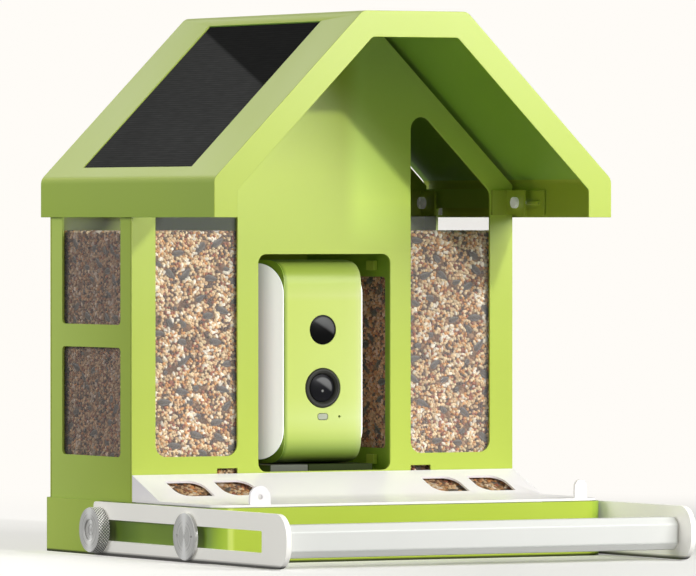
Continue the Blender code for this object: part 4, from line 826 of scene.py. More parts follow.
LAMINATE = SolarLaminate("solar_laminate", "solar_cells", (0.046, 0.046, 0.045), 0.45, 0.0)
HUSK = SeedHusk("seed_husk", "seed_mix", (0.50, 0.36, 0.24), 0.5, 0.3, grain_depth=0.00008)
BED = SeedBed("seed_bed", "seed_mix", (0.42, 0.25, 0.13), 0.8, 0.5, grain_depth=0.0007)
# The steel pieces glow a little: painted light.
STEEL = TurnedSteel("turned_steel", "turned_steel", (1.0, 0.99, 0.96), 0.3, glow=0.07)
LOCK_STEEL = Finish("lock_screw_steel", "turned_steel", (0.95, 0.95, 0.93), 0.3, 0.5, 2600.0, glow=0.12)


@dataclass
class Surface:
    """A mesh as arrays: corner places, faces by corner number, and values that ride on the corners."""

    places: np.ndarray
    faces: np.ndarray
    colour: np.ndarray | None = None
    stripe: np.ndarray | None = None

    def outward(self) -> None:
        """Turn round each triangle whose normal points towards the zero point."""
        a, b, c = (self.places[self.faces[:, i]] for i in range(3))
        inward = np.einsum("ij,ij->i", np.cross(b - a, c - a), a + b + c) < 0
        self.faces[inward] = self.faces[inward][:, ::-1]


def join_surfaces(surfaces: Sequence[Surface]) -> Surface:
    """Join several surfaces of triangles that carry colours and stripes.

    Args:
        surfaces: The surfaces.

    Returns:
        The one surface.
    """
    starts = np.cumsum([0] + [len(surface.places) for surface in surfaces[:-1]])
    faces = np.concatenate([surface.faces + start for surface, start in zip(surfaces, starts)])
    kinds = ("places", "colour", "stripe")
    joined = {kind: np.concatenate([getattr(surface, kind) for surface in surfaces]) for kind in kinds}
    return Surface(faces=faces, **joined)


def grid_faces(rows: int, columns: int) -> np.ndarray:
    """Return the four-cornered faces of a grid whose columns run round and close.

    Args:
        rows: The number of rows of corners.
        columns: The number of corners in each closed row.

    Returns:
        Corner numbers, four to a face.
    """
    row = np.arange(rows - 1)[:, None] * columns
    column = np.arange(columns)[None, :]
    following = (column + 1) % columns
    corners = (row + column, row + following, row + columns + following, row + columns + column)
    return np.stack([corner.ravel() for corner in corners], axis=1)


def turned_surface(
    profile: Sequence[tuple[float, float]], steps: int, relief: Callable | None = None
) -> Surface:
    """Turn a profile about X: a corner is (height, radius sin angle, radius cos angle).

    Args:
        profile: Radius and height along X, from one end to the other.
        steps: The number of corners round the axis.
        relief: What to add to the radius, from radius, height and angle.

    Returns:
        The turned surface. Its ends lie on the axis, or join up in a ring.
    """
    radius, height = (np.repeat(row[:, None], steps, axis=1) for row in np.array(profile, float).T)
    angle = np.broadcast_to(np.linspace(0, math.tau, steps, endpoint=False), radius.shape)
    if relief is not None:
        radius = radius + relief(radius, height, angle)
    places = np.stack([height, radius * np.sin(angle), radius * np.cos(angle)], axis=-1)
    return Surface(places.reshape(-1, 3), grid_faces(len(profile), steps))


def stand(name: str, data: bpy.types.ID) -> bpy.types.Object:
    """Put a new object into the scene.

    Args:
        name: Its name.
        data: Its mesh, light or camera.

    Returns:
        The new object.
    """
    item = bpy.data.objects.new(name, data)
    bpy.context.scene.collection.objects.link(item)
    return item


def finish_mesh(mesh: bpy.types.Mesh, surface: Surface) -> None:
    """Fill a mesh from a surface. A surface with no colours has its poles closed and its faces turned out.

    Args:
        mesh: The empty mesh.
        surface: The surface.
    """
    corners = surface.faces.shape[1]
    mesh.vertices.add(len(surface.places))
    mesh.vertices.foreach_set("co", surface.places.astype(np.float32).ravel())
    mesh.loops.add(surface.faces.size)
    mesh.loops.foreach_set("vertex_index", surface.faces.astype(np.int32).ravel())
    mesh.polygons.add(len(surface.faces))
    mesh.polygons.foreach_set("loop_start", np.arange(len(surface.faces), dtype=np.int32) * corners)
    mesh.update(calc_edges=True)
    mesh.validate()
    if surface.colour is not None:
        colour = mesh.color_attributes.new("seed_colour", "FLOAT_COLOR", "POINT")
        colour.data.foreach_set("color", surface.colour.astype(np.float32).ravel())
        stripe = mesh.attributes.new("stripe", "FLOAT", "POINT")
        stripe.data.foreach_set("value", surface.stripe.astype(np.float32))
    else:
        shape = bmesh.new()
        shape.from_mesh(mesh)
        bmesh.ops.remove_doubles(shape, verts=shape.verts, dist=POLE_GAP)
        bmesh.ops.recalc_face_normals(shape, faces=shape.faces)
        shape.to_mesh(mesh)
        shape.free()
    mesh.shade_smooth()
    mesh.set_sharp_from_angle(angle=SHARP)


def settle(item: bpy.types.Object, finish: Finish, body: Body, replaces: Sequence[str]) -> None:
    """Dress a piece and let it ride on its body.

    Args:
        item: The piece.
        finish: Its finish.
        body: The body it rides on.
        replaces: The CAD nodes it stands for.
    """
    item.data.materials.clear()
    item.data.materials.append(finish.build())
    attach(item, body.value)
    if replaces:
        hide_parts(*replaces)
    log.info("%s: %d faces on %s", item.name, len(item.data.polygons), body.value)


def add_piece(
    name: str, surface: Surface, finish: Finish, body: Body, replaces: Sequence[str] = ()
) -> bpy.types.Object:
    """Make a piece from a surface.

    Args:
        name: The piece's name.
        surface: Its shape.
        finish: Its finish.
        body: The body it rides on.
        replaces: The CAD nodes it stands for.

    Returns:
        The new object.
    """
    item = stand(name, bpy.data.meshes.new(name))
    finish_mesh(item.data, surface)
    settle(item, finish, body, replaces)
    return item


def skin(node: str, finish: Finish, body: Body, edge: float) -> None:
    """Stand a merged copy of a CAD node in its place, with its sharp edges rounded.

    Args:
        node: The CAD node.
        finish: The skin's finish.
        body: The body it rides on.
        edge: The width of the rounding.
    """
    shape = bmesh.new()
    shape.from_mesh(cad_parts[node].data)
    bmesh.ops.remove_doubles(shape, verts=shape.verts, dist=SEAM_GAP)
    bmesh.ops.dissolve_limit(shape, angle_limit=FLAT, verts=shape.verts, edges=shape.edges)
    item = stand(f"{node}_skin", bpy.data.meshes.new(f"{node}_skin"))
    mesh = item.data
    shape.to_mesh(mesh)
    shape.free()
    # Faces that point down are marked for painted shade.
    normals = np.empty(len(mesh.polygons) * 3, np.float32)
    mesh.polygons.foreach_get("normal", normals)
    down = mesh.attributes.new("facing_down", "FLOAT", "FACE")
    down.data.foreach_set("value", (normals.reshape(-1, 3)[:, 2] < -0.5).astype(np.float32))
    mesh.shade_smooth()
    mesh.set_sharp_from_angle(angle=FOLD)
    bevel = item.modifiers.new("rounded_edges", "BEVEL")
    bevel.width = edge
    bevel.segments = 2
    bevel.limit_method = "ANGLE"
    bevel.angle_limit = FOLD
    bevel.harden_normals = True
    bevel.miter_outer = "MITER_ARC"
    settle(item, finish, body, [node])


def middle(node: str) -> Vector:
    """Return the middle of a CAD node's box."""
    low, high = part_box(node)
    return (low + high) / 2


def along_x(surface: Surface, origin: Sequence[float], side: float) -> Surface:
    """Carry a turned surface to its origin, its far end pointing outwards on its side.

    Args:
        surface: A surface turned about X.
        origin: Where its zero height lies.
        side: Minus one on the left, one on the right.

    Returns:
        The surface in its place. Turning half way round Z keeps its faces outwards.
    """
    return Surface(surface.places * (side, side, 1.0) + np.array(origin), surface.faces)


def facing_front(surface: Surface, origin: Sequence[float]) -> Surface:
    """Carry a turned surface to its origin, its far end pointing to the front: X becomes minus Y."""
    x, y, z = surface.places.T
    return Surface(np.stack([y, -x, z], axis=1) + np.array(origin), surface.faces)


@dataclass(frozen=True)
class SeedKind:
    """One kind of seed: length, breadth and thickness, colour, and its share of the mix."""

    size: tuple[float, float, float]
    colour: Colour
    share: float = 1.0


GRAINS = (
    SeedKind((0.0036, 0.0022, 0.0019), (1.0, 0.92, 0.78), 0.09),
    SeedKind((0.0024, 0.0023, 0.0022), (0.92, 0.72, 0.44), 0.27),
    SeedKind((0.0024, 0.0022, 0.0020), (0.80, 0.54, 0.29), 0.22),
    SeedKind((0.0022, 0.0021, 0.0021), (0.72, 0.34, 0.10), 0.18),
    SeedKind((0.0022, 0.0022, 0.0020), (0.36, 0.10, 0.045), 0.12),
    SeedKind((0.0022, 0.0021, 0.0020), (0.09, 0.055, 0.045), 0.12),
)
SUNFLOWER = SeedKind((0.0116, 0.0058, 0.0036), (0.040, 0.042, 0.046))
SUNFLOWER_TURN = 0.9
SUNFLOWER_AREA = 0.7
SUNFLOWER_GAP = 0.78
GRAIN_SIZES = (0.88, 1.12)
SUNFLOWER_SIZES = (0.86, 1.08)
SEED_TONES = (0.75, 1.2)

# Five sine waves: the least and the greatest rate across and up, in radians per metre, and the phase.
WAVES = ((180, -300, 0), (520, 300, math.tau), (5, 3))


def round_grain() -> Surface:
    """Work out a grain of unit diameter: the twelve corners and twenty faces of an icosahedron.

    Returns:
        The grain. Its faces are the threes of corners that lie an edge's length apart, which is 0.53.
    """
    golden = (1 + math.sqrt(5)) / 2
    corners = []
    for a in (-1, 1):
        for b in (-golden, golden):
            corners += [(0, a, b), (a, b, 0), (b, 0, a)]
    places = np.array(corners, float)
    places *= 0.5 / np.linalg.norm(places[0])
    first, second, third = np.indices((12, 12, 12)).reshape(3, -1)
    rising = (first < second) & (second < third)
    triples = np.stack([first, second, third], axis=1)[rising]
    a, b, c = (places[triples[:, i]] for i in range(3))
    sides = np.stack([np.linalg.norm(side, axis=1) for side in (a - b, b - c, c - a)])
    grain = Surface(places, triples[sides.max(axis=0) < 0.6], None, np.zeros(len(places)))
    grain.outward()
    return grain


def husk_shape(rings: int = 5, columns: int = 8) -> Surface:
    """Return a sunflower seed of unit size: its width is a sine of the length, drawn in at the tip.

    Args:
        rings: The number of rings between the two ends.
        columns: The number of corners in each ring.

    Returns:
        The seed, long along X, with a stripe on every other column.
    """
    length = np.linspace(0.07, 0.93, rings)[:, None]
    radius = 0.5 * np.sin(np.pi * length) ** 0.75 * (1.12 - 0.4 * length)
    angle = np.linspace(0, math.tau, columns, endpoint=False)
    along = np.broadcast_to(length - 0.5, (rings, columns))
    ring = np.stack([along, radius * np.cos(angle), radius * np.sin(angle)], axis=-1)
    places = np.concatenate([ring.reshape(-1, 3), [(-0.5, 0, 0), (0.5, 0, 0)]])
    quads = grid_faces(rings, columns)[:, ::-1]
    column = np.arange(columns)
    following = (column + 1) % columns
    last = (rings - 1) * columns
    tip = np.full(columns, rings * columns)
    start = np.stack([tip, following, column], axis=1)
    end = np.stack([tip + 1, last + column, last + following], axis=1)
    faces = np.concatenate([quads[:, [0, 1, 2]], quads[:, [0, 2, 3]], start, end])
    stripe = np.concatenate([np.tile(column % 2, rings), (0, 0)])
    husk = Surface(places, faces, None, stripe.astype(float))
    husk.outward()
    return husk


@dataclass(frozen=True)
class SeedFace:
    """A flat side of a heap of seed: one corner, its two edges and the way out of the heap."""

    corner: Place
    across: Place
    up: Place
    out: Place


@dataclass(frozen=True)
class SeedLayer:
    """A layer of loose seed on one side of a heap.

    The cover is the share of the side under sunflower seeds, and the depth is how far a seed may sink. The
    shake is a share of the pitch, the tilt is in radians, and clumping and reflection_streaks are heights of
    waves; reflection_streaks lighten and darken the seed in bands, a painted reflection. The shade multiplies
    the seeds' colours; on the hoppers' sides it is painted shade.
    """

    pitch: float = 0.00182
    grain_scale: float = 1.0
    sunflower_cover: float = 0.17
    depth: float = 0.0007
    ragged: float = 0.0
    shade: float = 1.08
    tint: Colour = PLAIN
    clumping: float = 0.36
    reflection_streaks: float = 0.0
    shake: float = 0.22
    margin: float = 0.0011
    tilt: float = 0.28

    def scatter(self, face: SeedFace, chance: np.random.Generator) -> Surface:
        """Lay seed over a face, grains in a shaken hexagonal grid with sunflower seeds among them.

        The kinds of grain gather in clumps, and a painted reflection varies the brightness in bands, where
        five sine waves add up.

        Args:
            face: The face.
            chance: The random numbers.

        Returns:
            The seeds as one surface of triangles.
        """
        width, height = (float(np.linalg.norm(edge)) for edge in (face.across, face.up))
        big = self.sunflower_spots(width, height, chance)
        small = self.grain_spots(width, height, big, chance)
        waves = chance.uniform(*WAVES)
        clumps = np.sin(small @ waves[:, :2].T + waves[:, 2]).mean(axis=1)
        pick = np.clip(chance.uniform(0, 1, len(small)) + self.clumping * clumps, 0, 0.999)
        kinds = np.searchsorted(np.cumsum([kind.share for kind in GRAINS]), pick)
        sizes = np.array([kind.size for kind in GRAINS])[kinds] * self.grain_scale
        sizes = sizes * chance.uniform(*GRAIN_SIZES, (len(small), 1))
        bands = np.sin(small[:, :1] * waves[:, 0] * 7 + waves[:, 2]).mean(axis=1)
        colours = np.array([kind.colour for kind in GRAINS])[kinds]
        # Painted reflection: bands of brightness across the seed.
        colours = colours * (1 + self.reflection_streaks * bands[:, None]) * self.tint
        angle = chance.uniform(0, math.tau, (len(small), 1))
        grains = self.lay(face, round_grain(), np.hstack([small, angle]), sizes, colours, chance)
        sizes = np.array(SUNFLOWER.size) * chance.uniform(*SUNFLOWER_SIZES, (len(big), 1))
        colours = np.tile(SUNFLOWER.colour, (len(big), 1))
        return join_surfaces([grains, self.lay(face, husk_shape(), big, sizes, colours, chance)])

    def sunflower_spots(self, width: float, height: float, chance: np.random.Generator) -> np.ndarray:
        """Return places and turns of the sunflower seeds, whose middles keep apart by most of a length.

        Args:
            width: The face's width.
            height: The face's height.
            chance: The random numbers.

        Returns:
            Rows of across, up and angle.
        """
        length, breadth, _ = SUNFLOWER.size
        area = SUNFLOWER_AREA * length * breadth
        count = max(1, int(self.sunflower_cover * width * height / area))
        gap = SUNFLOWER_GAP * length
        margin = 0.5 * length
        least = (margin, margin, -SUNFLOWER_TURN)
        most = (width - margin, height - margin, SUNFLOWER_TURN)
        tries = chance.uniform(least, most, (count * 8, 3))
        kept: list[np.ndarray] = []
        for spot in tries:
            if len(kept) < count and all(np.hypot(*(spot - other)[:2]) > gap for other in kept):
                kept.append(spot)
        return np.array(kept)

    def grain_spots(
        self, width: float, height: float, big: np.ndarray, chance: np.random.Generator
    ) -> np.ndarray:
        """Return places of the grains, apart from those under a sunflower seed.

        Args:
            width: The face's width.
            height: The face's height.
            big: The sunflower seeds.
            chance: The random numbers.

        Returns:
            Rows of across and up. The top edge dips by a sine wave that another one shifts.
        """
        rows = np.arange(0.0011, height - 0.0009, self.pitch * math.sqrt(3) / 2)
        columns = np.arange(0.0012, width - 0.0012, self.pitch)
        across, up = np.meshgrid(columns, rows)
        across = across + (np.arange(len(rows)) % 2)[:, None] * self.pitch / 2
        spots = np.stack([across.ravel(), up.ravel()], axis=1)
        spots += chance.normal(0, self.shake * self.pitch, spots.shape)
        top = height - self.ragged * (0.5 + 0.5 * np.sin(spots[:, 0] * 310 + 1.7 * np.sin(spots[:, 0] * 97)))
        ends = np.stack([np.full(len(top), width), top], axis=1)
        spots = spots[((spots > self.margin) & (spots < ends - self.margin)).all(axis=1)]
        away = spots[:, None, :] - big[None, :, :2]
        turn_cos, turn_sin = np.cos(big[:, 2]), np.sin(big[:, 2])
        along = away[..., 0] * turn_cos + away[..., 1] * turn_sin
        aside = away[..., 1] * turn_cos - away[..., 0] * turn_sin
        cover = (along / (0.46 * SUNFLOWER.size[0])) ** 2 + (aside / (0.44 * SUNFLOWER.size[1])) ** 2
        return spots[cover.min(axis=1) > 1.0]

    def lay(
        self,
        face: SeedFace,
        seed: Surface,
        spots: np.ndarray,
        sizes: np.ndarray,
        colours: np.ndarray,
        chance: np.random.Generator,
    ) -> Surface:
        """Copy a seed to each spot: scaled, turned in the face, tipped a little and sunk behind the face.

        Args:
            face: The face.
            seed: The seed of unit size.
            spots: Rows of across, up and the turn in the face.
            sizes: Rows of length, breadth and thickness.
            colours: The colour of each seed.
            chance: The random numbers.

        Returns:
            All the copies as one surface.
        """
        count, corners = len(spots), len(seed.places)
        axes = [np.array(edge) / np.linalg.norm(edge) for edge in (face.across, face.up)]
        turn, tip = spots[:, 2], chance.normal(0, self.tilt, count)
        turn_cos, turn_sin, tip_cos, tip_sin = np.cos(turn), np.sin(turn), np.cos(tip), np.sin(tip)
        long_way = np.stack([turn_cos * tip_cos, turn_sin * tip_cos, tip_sin], axis=1)
        wide_way = np.stack([-turn_sin, turn_cos, np.zeros(count)], axis=1)
        ways = np.stack([long_way, wide_way, np.cross(long_way, wide_way)], axis=1)
        local = np.einsum("ni,vi,nij->nvj", sizes, seed.places, ways)
        sink = local[..., 2].max(axis=1) + chance.uniform(0.0, self.depth, count)
        local[..., :2] += spots[:, None, :2]
        local[..., 2] -= sink[:, None]
        places = local @ np.stack([*axes, np.array(face.out, float)]) + np.array(face.corner)
        faces = seed.faces[None] + (np.arange(count) * corners)[:, None, None]
        shade = colours * chance.uniform(*SEED_TONES, (count, 1)) * self.shade
        colour = np.concatenate([np.repeat(shade, corners, axis=0), np.ones((count * corners, 1))], axis=1)
        return Surface(places.reshape(-1, 3), faces.reshape(-1, 3), colour, np.tile(seed.stripe, count))


def sunken_copy(node: str, depth: float) -> Surface:
    """Draw a copy of a CAD node's mesh in towards its middle.

    Args:
        node: The CAD node.
        depth: How much deeper its sides lie then.

    Returns:
        The copy.
    """
    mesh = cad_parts[node].data
    places = np.empty(len(mesh.vertices) * 3, np.float32)
    mesh.vertices.foreach_get("co", places)
    faces = np.empty(len(mesh.polygons) * 3, np.int32)
    mesh.polygons.foreach_get("vertices", faces)
    places = places.reshape(-1, 3).astype(float)
    centre = (places.max(axis=0) + places.min(axis=0)) / 2
    half = (places.max(axis=0) - places.min(axis=0)) / 2
    return Surface(centre + (places - centre) * (1 - depth / half), faces.reshape(-1, 3))


def lay_bed(node: str, name: str, depth: float) -> None:
    """Build the seed deeper down as a sunken copy of a heap."""
    bed = add_piece(name, sunken_copy(node, depth), BED, Body.HOUSE, [node])
    bed.data.shade_flat()


@dataclass(frozen=True)
class LightPanel:
    """A soft rectangular light."""

    name: str
    place: Place
    aim: Place
    size: tuple[float, float]
    glow: float


@dataclass
class Studio:
    """The floor, the light and the camera.

    The floor turns into the backdrop between the two radii of floor_end. Nearer, its glow goes from the first
    of floor_glow to the second between the two places of floor_rise, counted to the camera's right. This glow
    is painted light: the floor is brighter to the camera's left, and its shadows are lifted.
    """

    camera_place: Place = (-2.3072, -4.2387, 0.2079)
    camera_turn: float = -28.56
    lens: float = 402.6
    shift: tuple[float, float] = (0.0336, -0.1012)
    toward_key: Place = (0.138, -0.925, 0.353)
    key_strength: float = 1.2
    key_angle: float = 2.2
    fill: float = 0.23
    fill_colour: Colour = (0.97, 1.0, 0.98)
    mirrored_glow: float = 0.6
    backdrop: Colour = (1.0, 0.973, 0.93)
    floor_radii: tuple[float, ...] = (0.0, 0.5, 1.0, 2.0, 4.0, 9.0)
    floor_tones: tuple[tuple[float, Colour], ...] = ((0.2, (0.80, 0.79, 0.77)), (0.8, (0.84, 0.83, 0.81)))
    floor_grain: float = 300.0
    floor_end: tuple[float, float] = (0.3, 1.1)
    floor_bounce: float = 0.28
    floor_rise: tuple[float, float] = (-0.18, 0.1)
    floor_glow: tuple[float, float] = (0.47, 0.10)
    panels: tuple[LightPanel, ...] = (
        LightPanel("front_panel_light", (0.53, -0.97, 0.58), (0.0, 0.0, 0.25), (0.55, 0.6), 9.2),
        LightPanel("side_panel_light", (-2.7, 0.3, 0.9), (0.0, 0.0, 0.12), (1.4, 1.2), 5.8),
        LightPanel("rear_panel_light", (-0.08, 1.3, 0.98), (-0.08, 0.0, 0.28), (0.5, 0.4), 1.0),
    )

    def build(self) -> None:
        """Build the floor, the lights and the camera."""
        self.build_floor()
        self.build_world()
        self.build_key()
        for panel in self.panels:
            self.build_panel(panel)
        self.build_camera()

    def build_floor(self) -> None:
        """Lay a round floor: rings of corners at each radius."""
        surface = turned_surface([(radius, 0.0) for radius in self.floor_radii], 64)
        item = stand("floor", bpy.data.meshes.new("floor"))
        finish_mesh(item.data, Surface(surface.places[:, [2, 1, 0]], surface.faces))
        item.data.materials.append(self.floor_material())

    def floor_material(self) -> bpy.types.Material:
        """Make the floor's material: pale, and as bright as the backdrop further out for the camera.

        Returns:
            The new material.
        """
        sheet = MaterialSheet("pale_floor")
        sheet.tree.nodes.remove(sheet.shader)
        far = sheet.between(sheet.vector("LENGTH", sheet.place), *self.floor_end, smooth=True)
        tone = sheet.ramp(sheet.noise(sheet.place, self.floor_grain), self.floor_tones)
        matt = sheet.add("BsdfDiffuse", {"Color": tone})
        turn = math.radians(self.camera_turn)
        across = sheet.vector("DOT_PRODUCT", sheet.place, (math.cos(turn), math.sin(turn), 0.0))
        # Painted light: the floor's glow rises towards the camera's left.
        strength = sheet.between(across, *self.floor_rise, *self.floor_glow)
        pale = (*self.backdrop, 1.0)
        glow, sky = (sheet.add("Emission", {"Color": pale, "Strength": value}) for value in (strength, 1.0))
        near = sheet.add("AddShader", {0: matt.outputs[0], 1: glow.outputs[0]})
        seen = sheet.add("MixShader", {0: far, 1: near.outputs[0], 2: sky.outputs[0]})
        camera_ray = sheet.add("LightPath").outputs["Is Camera Ray"]
        bounce = sheet.add("BsdfDiffuse", {"Color": (*(self.floor_bounce,) * 3, 1.0)})
        both = sheet.add("MixShader", {0: camera_ray, 1: bounce.outputs[0], 2: seen.outputs[0]})
        sheet.feed(sheet.tree.nodes["Material Output"], {"Surface": both.outputs[0]})
        return sheet.material

    def build_world(self) -> None:
        """Give the world a soft fill light, and a pale backdrop to the camera and to reflections."""
        world = bpy.data.worlds.new("studio")
        world.use_nodes = True
        bpy.context.scene.world = world
        world.node_tree.nodes.clear()
        sheet = NodeSheet(world.node_tree)
        path = sheet.add("LightPath").outputs
        lights = []
        back = self.backdrop
        for colour, glow in ((self.fill_colour, self.fill), (back, self.mirrored_glow), (back, 1.0)):
            lights.append(sheet.add("Background", {"Color": (*colour, 1.0), "Strength": glow}).outputs[0])
        fill, mirrored, pale = lights
        lit = sheet.add("MixShader", {0: path["Is Glossy Ray"], 1: fill, 2: mirrored}).outputs[0]
        both = sheet.add("MixShader", {0: path["Is Camera Ray"], 1: lit, 2: pale}).outputs[0]
        sheet.add("OutputWorld", {"Surface": both})

    def build_key(self) -> None:
        """Add the key light, far away in front and a little to the right."""
        light = bpy.data.lights.new("key", "SUN")
        light.energy = self.key_strength
        light.angle = math.radians(self.key_angle)
        stand("key", light).rotation_euler = Vector(self.toward_key).to_track_quat("Z", "Y").to_euler()

    def build_panel(self, panel: LightPanel) -> None:
        """Add a soft light: its power is its glow times pi times its area.

        Args:
            panel: The light's sizes.
        """
        light = bpy.data.lights.new(panel.name, "AREA")
        light.shape = "RECTANGLE"
        light.size, light.size_y = panel.size
        light.energy = panel.glow * math.pi * panel.size[0] * panel.size[1]
        item = stand(panel.name, light)
        item.location = panel.place
        item.rotation_euler = (Vector(panel.place) - Vector(panel.aim)).to_track_quat("Z", "Y").to_euler()

    def build_camera(self) -> None:
        """Set up the camera."""
        camera = bpy.data.cameras.new("camera")
        camera.lens = self.lens
        camera.sensor_width = 36.0
        camera.shift_x, camera.shift_y = self.shift
        camera.clip_end = 30.0
        item = stand("camera", camera)
        item.location = self.camera_place
        item.rotation_euler = (math.radians(90), 0.0, math.radians(self.camera_turn))
        bpy.context.scene.camera = item


@dataclass
class House:
    """The folded steel house: base, walls, camera bay and the brackets inside."""

    sheet_edge: float = 0.00035
    gable_edge: float = 0.0001
    base_edge: float = 0.0008
    pad_edge: float = 0.0006

    def build(self) -> None:
        """Build the skins of the house."""
        skin("front_panel", FRONT_GREEN, Body.HOUSE, self.sheet_edge)
        skin("back_panel", GREEN, Body.HOUSE, self.gable_edge)
        for side, _ in SIDES:
            skin(f"{side}_side_panel", SIDE_GREEN, Body.HOUSE, self.sheet_edge)
        skin("base_tray", BASE_GREEN, Body.HOUSE, self.base_edge)
        skin("camera_shelf", SHADED_SHELF_GREEN, Body.HOUSE, self.sheet_edge)
        skin("floor_plate", GREEN, Body.HOUSE, self.sheet_edge)
        for node in ("left_divider", "right_divider", "bay_floor"):
            skin(node, SHADED_BAY_GREEN, Body.HOUSE, self.sheet_edge)
        skin("bay_ceiling", CEILING_GREEN, Body.HOUSE, self.sheet_edge)
        skin("camera_pad", GREY, Body.HOUSE, self.pad_edge)
        for side, _ in SIDES:
            for part in ("top_clip", "bottom_clip", "lock_bracket", "pivot_bracket"):
                skin(f"{side}_{part}", GREEN, Body.HOUSE, self.sheet_edge)


@dataclass
class Roof:
    """The folded roof with its solar panel."""

    sheet_edge: float = 0.0003
    plate_edge: float = 0.0003

    def build(self) -> None:
        """Build the skins of the roof."""
        skin("roof_shell", ROOF_GREEN, Body.ROOF, self.sheet_edge)
        skin("solar_backing", BLACK, Body.ROOF, self.plate_edge)
        skin("solar_panel", LAMINATE, Body.ROOF, self.plate_edge)
        for side, _ in SIDES:
            skin(f"{side}_keeper_plate", GREEN, Body.ROOF, self.plate_edge)


@dataclass
class Perch:
    """The perch: two slotted arms and the rail between them."""

    arm_edge: float = 0.0006
    rail_edge: float = 0.0008

    def build(self) -> None:
        """Build the skins of the perch."""
        for side, _ in SIDES:
            skin(f"{side}_perch_arm", IVORY, Body.PERCH, self.arm_edge)
        skin("perch_rail", RAIL, Body.PERCH, self.rail_edge)


@dataclass
class Tray:
    """The white tray cover, and the trough and seed under it."""

    cover_edge: float = 0.0006
    bed_depth: float = 0.0016
    slope_foot: tuple[float, float] = (-0.03753, 0.0326)
    first_draw: int = 40
    layer: SeedLayer = SeedLayer(0.0025, 1.6, 0.1, 0.0009, shade=0.56, tint=(1.1, 0.96, 0.86))

    def build(self) -> None:
        """Build the cover, the trough and the two heaps."""
        skin("tray_cover", WHITE, Body.TRAY, self.cover_edge)
        skin("seed_trough", WHITE, Body.HOUSE, self.cover_edge)
        for number, (side, _) in enumerate(SIDES):
            self.build_heap(side, np.random.default_rng(self.first_draw + number))

    def build_heap(self, side: str, chance: np.random.Generator) -> None:
        """Lay seed over one heap's slope.

        Args:
            side: Which heap.
            chance: The random numbers.
        """
        node = f"{side}_tray_seed"
        low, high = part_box(node)
        lay_bed(node, f"{side}_tray_seed_bed", self.bed_depth)
        foot_y, foot_z = self.slope_foot
        rise, run = high.z - foot_z, high.y - foot_y
        length = math.hypot(rise, run)
        out = (0, -rise / length, run / length)
        face = SeedFace((low.x, high.y - run, high.z - rise), (high.x - low.x, 0, 0), (0, run, rise), out)
        add_piece(f"{side}_tray_seeds", self.layer.scatter(face, chance), HUSK, Body.HOUSE)


@dataclass
class SeedStore:
    """The two clear hoppers and the seed in them."""

    wall_edge: float = 0.0008
    bed_depth: float = 0.0014
    first_draw: int = 10
    front: SeedLayer = SeedLayer(ragged=0.0012)
    front_shades: tuple[float, float] = (1.08, 0.96)
    top: SeedLayer = SeedLayer(0.0021, 1.08, ragged=0.0012)
    # The seed on the hoppers' sides is painted darker, painted shade, and outside carries painted reflection
    # bands.
    outside: SeedLayer = SeedLayer(ragged=0.0012, shade=0.42, tint=(1.0, 0.82, 0.76), reflection_streaks=0.9)
    inside: SeedLayer = SeedLayer(ragged=0.0012, shade=0.68, tint=(1.35, 0.98, 0.8))

    def build(self) -> None:
        """Build both hoppers and their seed."""
        for number, (side, sign) in enumerate(SIDES):
            skin(f"{side}_hopper", CLEAR, Body.HOUSE, self.wall_edge)
            front = replace(self.front, shade=self.front_shades[number])
            self.build_seed(side, sign, front, np.random.default_rng(self.first_draw + number))

    def build_seed(self, side: str, sign: float, front: SeedLayer, chance: np.random.Generator) -> None:
        """Lay seed over the front, the top, the outer side and the inner side of one filling.

        Args:
            side: Which hopper.
            sign: Minus one on the left, one on the right.
            front: The layer behind the window.
            chance: The random numbers.
        """
        node = f"{side}_seed_fill"
        low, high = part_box(node)
        lay_bed(node, f"{side}_seed_bed", self.bed_depth)
        wide, deep, tall = high - low
        outer, inner = (high.x, low.x) if sign > 0 else (low.x, high.x)
        window = SeedFace((low.x, low.y, low.z), (wide, 0, 0), (0, 0, tall), (0, -1, 0))
        lid = SeedFace((low.x, low.y, high.z), (wide, 0, 0), (0, deep, 0), (0, 0, 1))
        surface = join_surfaces([front.scatter(window, chance), self.top.scatter(lid, chance)])
        add_piece(f"{side}_front_seeds", surface, HUSK, Body.HOUSE)
        sides = (("outer", outer, sign, self.outside), ("inner", inner, -sign, self.inside))
        for label, x, way, layer in sides:
            face = SeedFace((x, low.y, low.z), (0, deep, 0), (0, 0, tall), (way, 0, 0))
            add_piece(f"{side}_{label}_seeds", layer.scatter(face, chance), HUSK, Body.HOUSE)


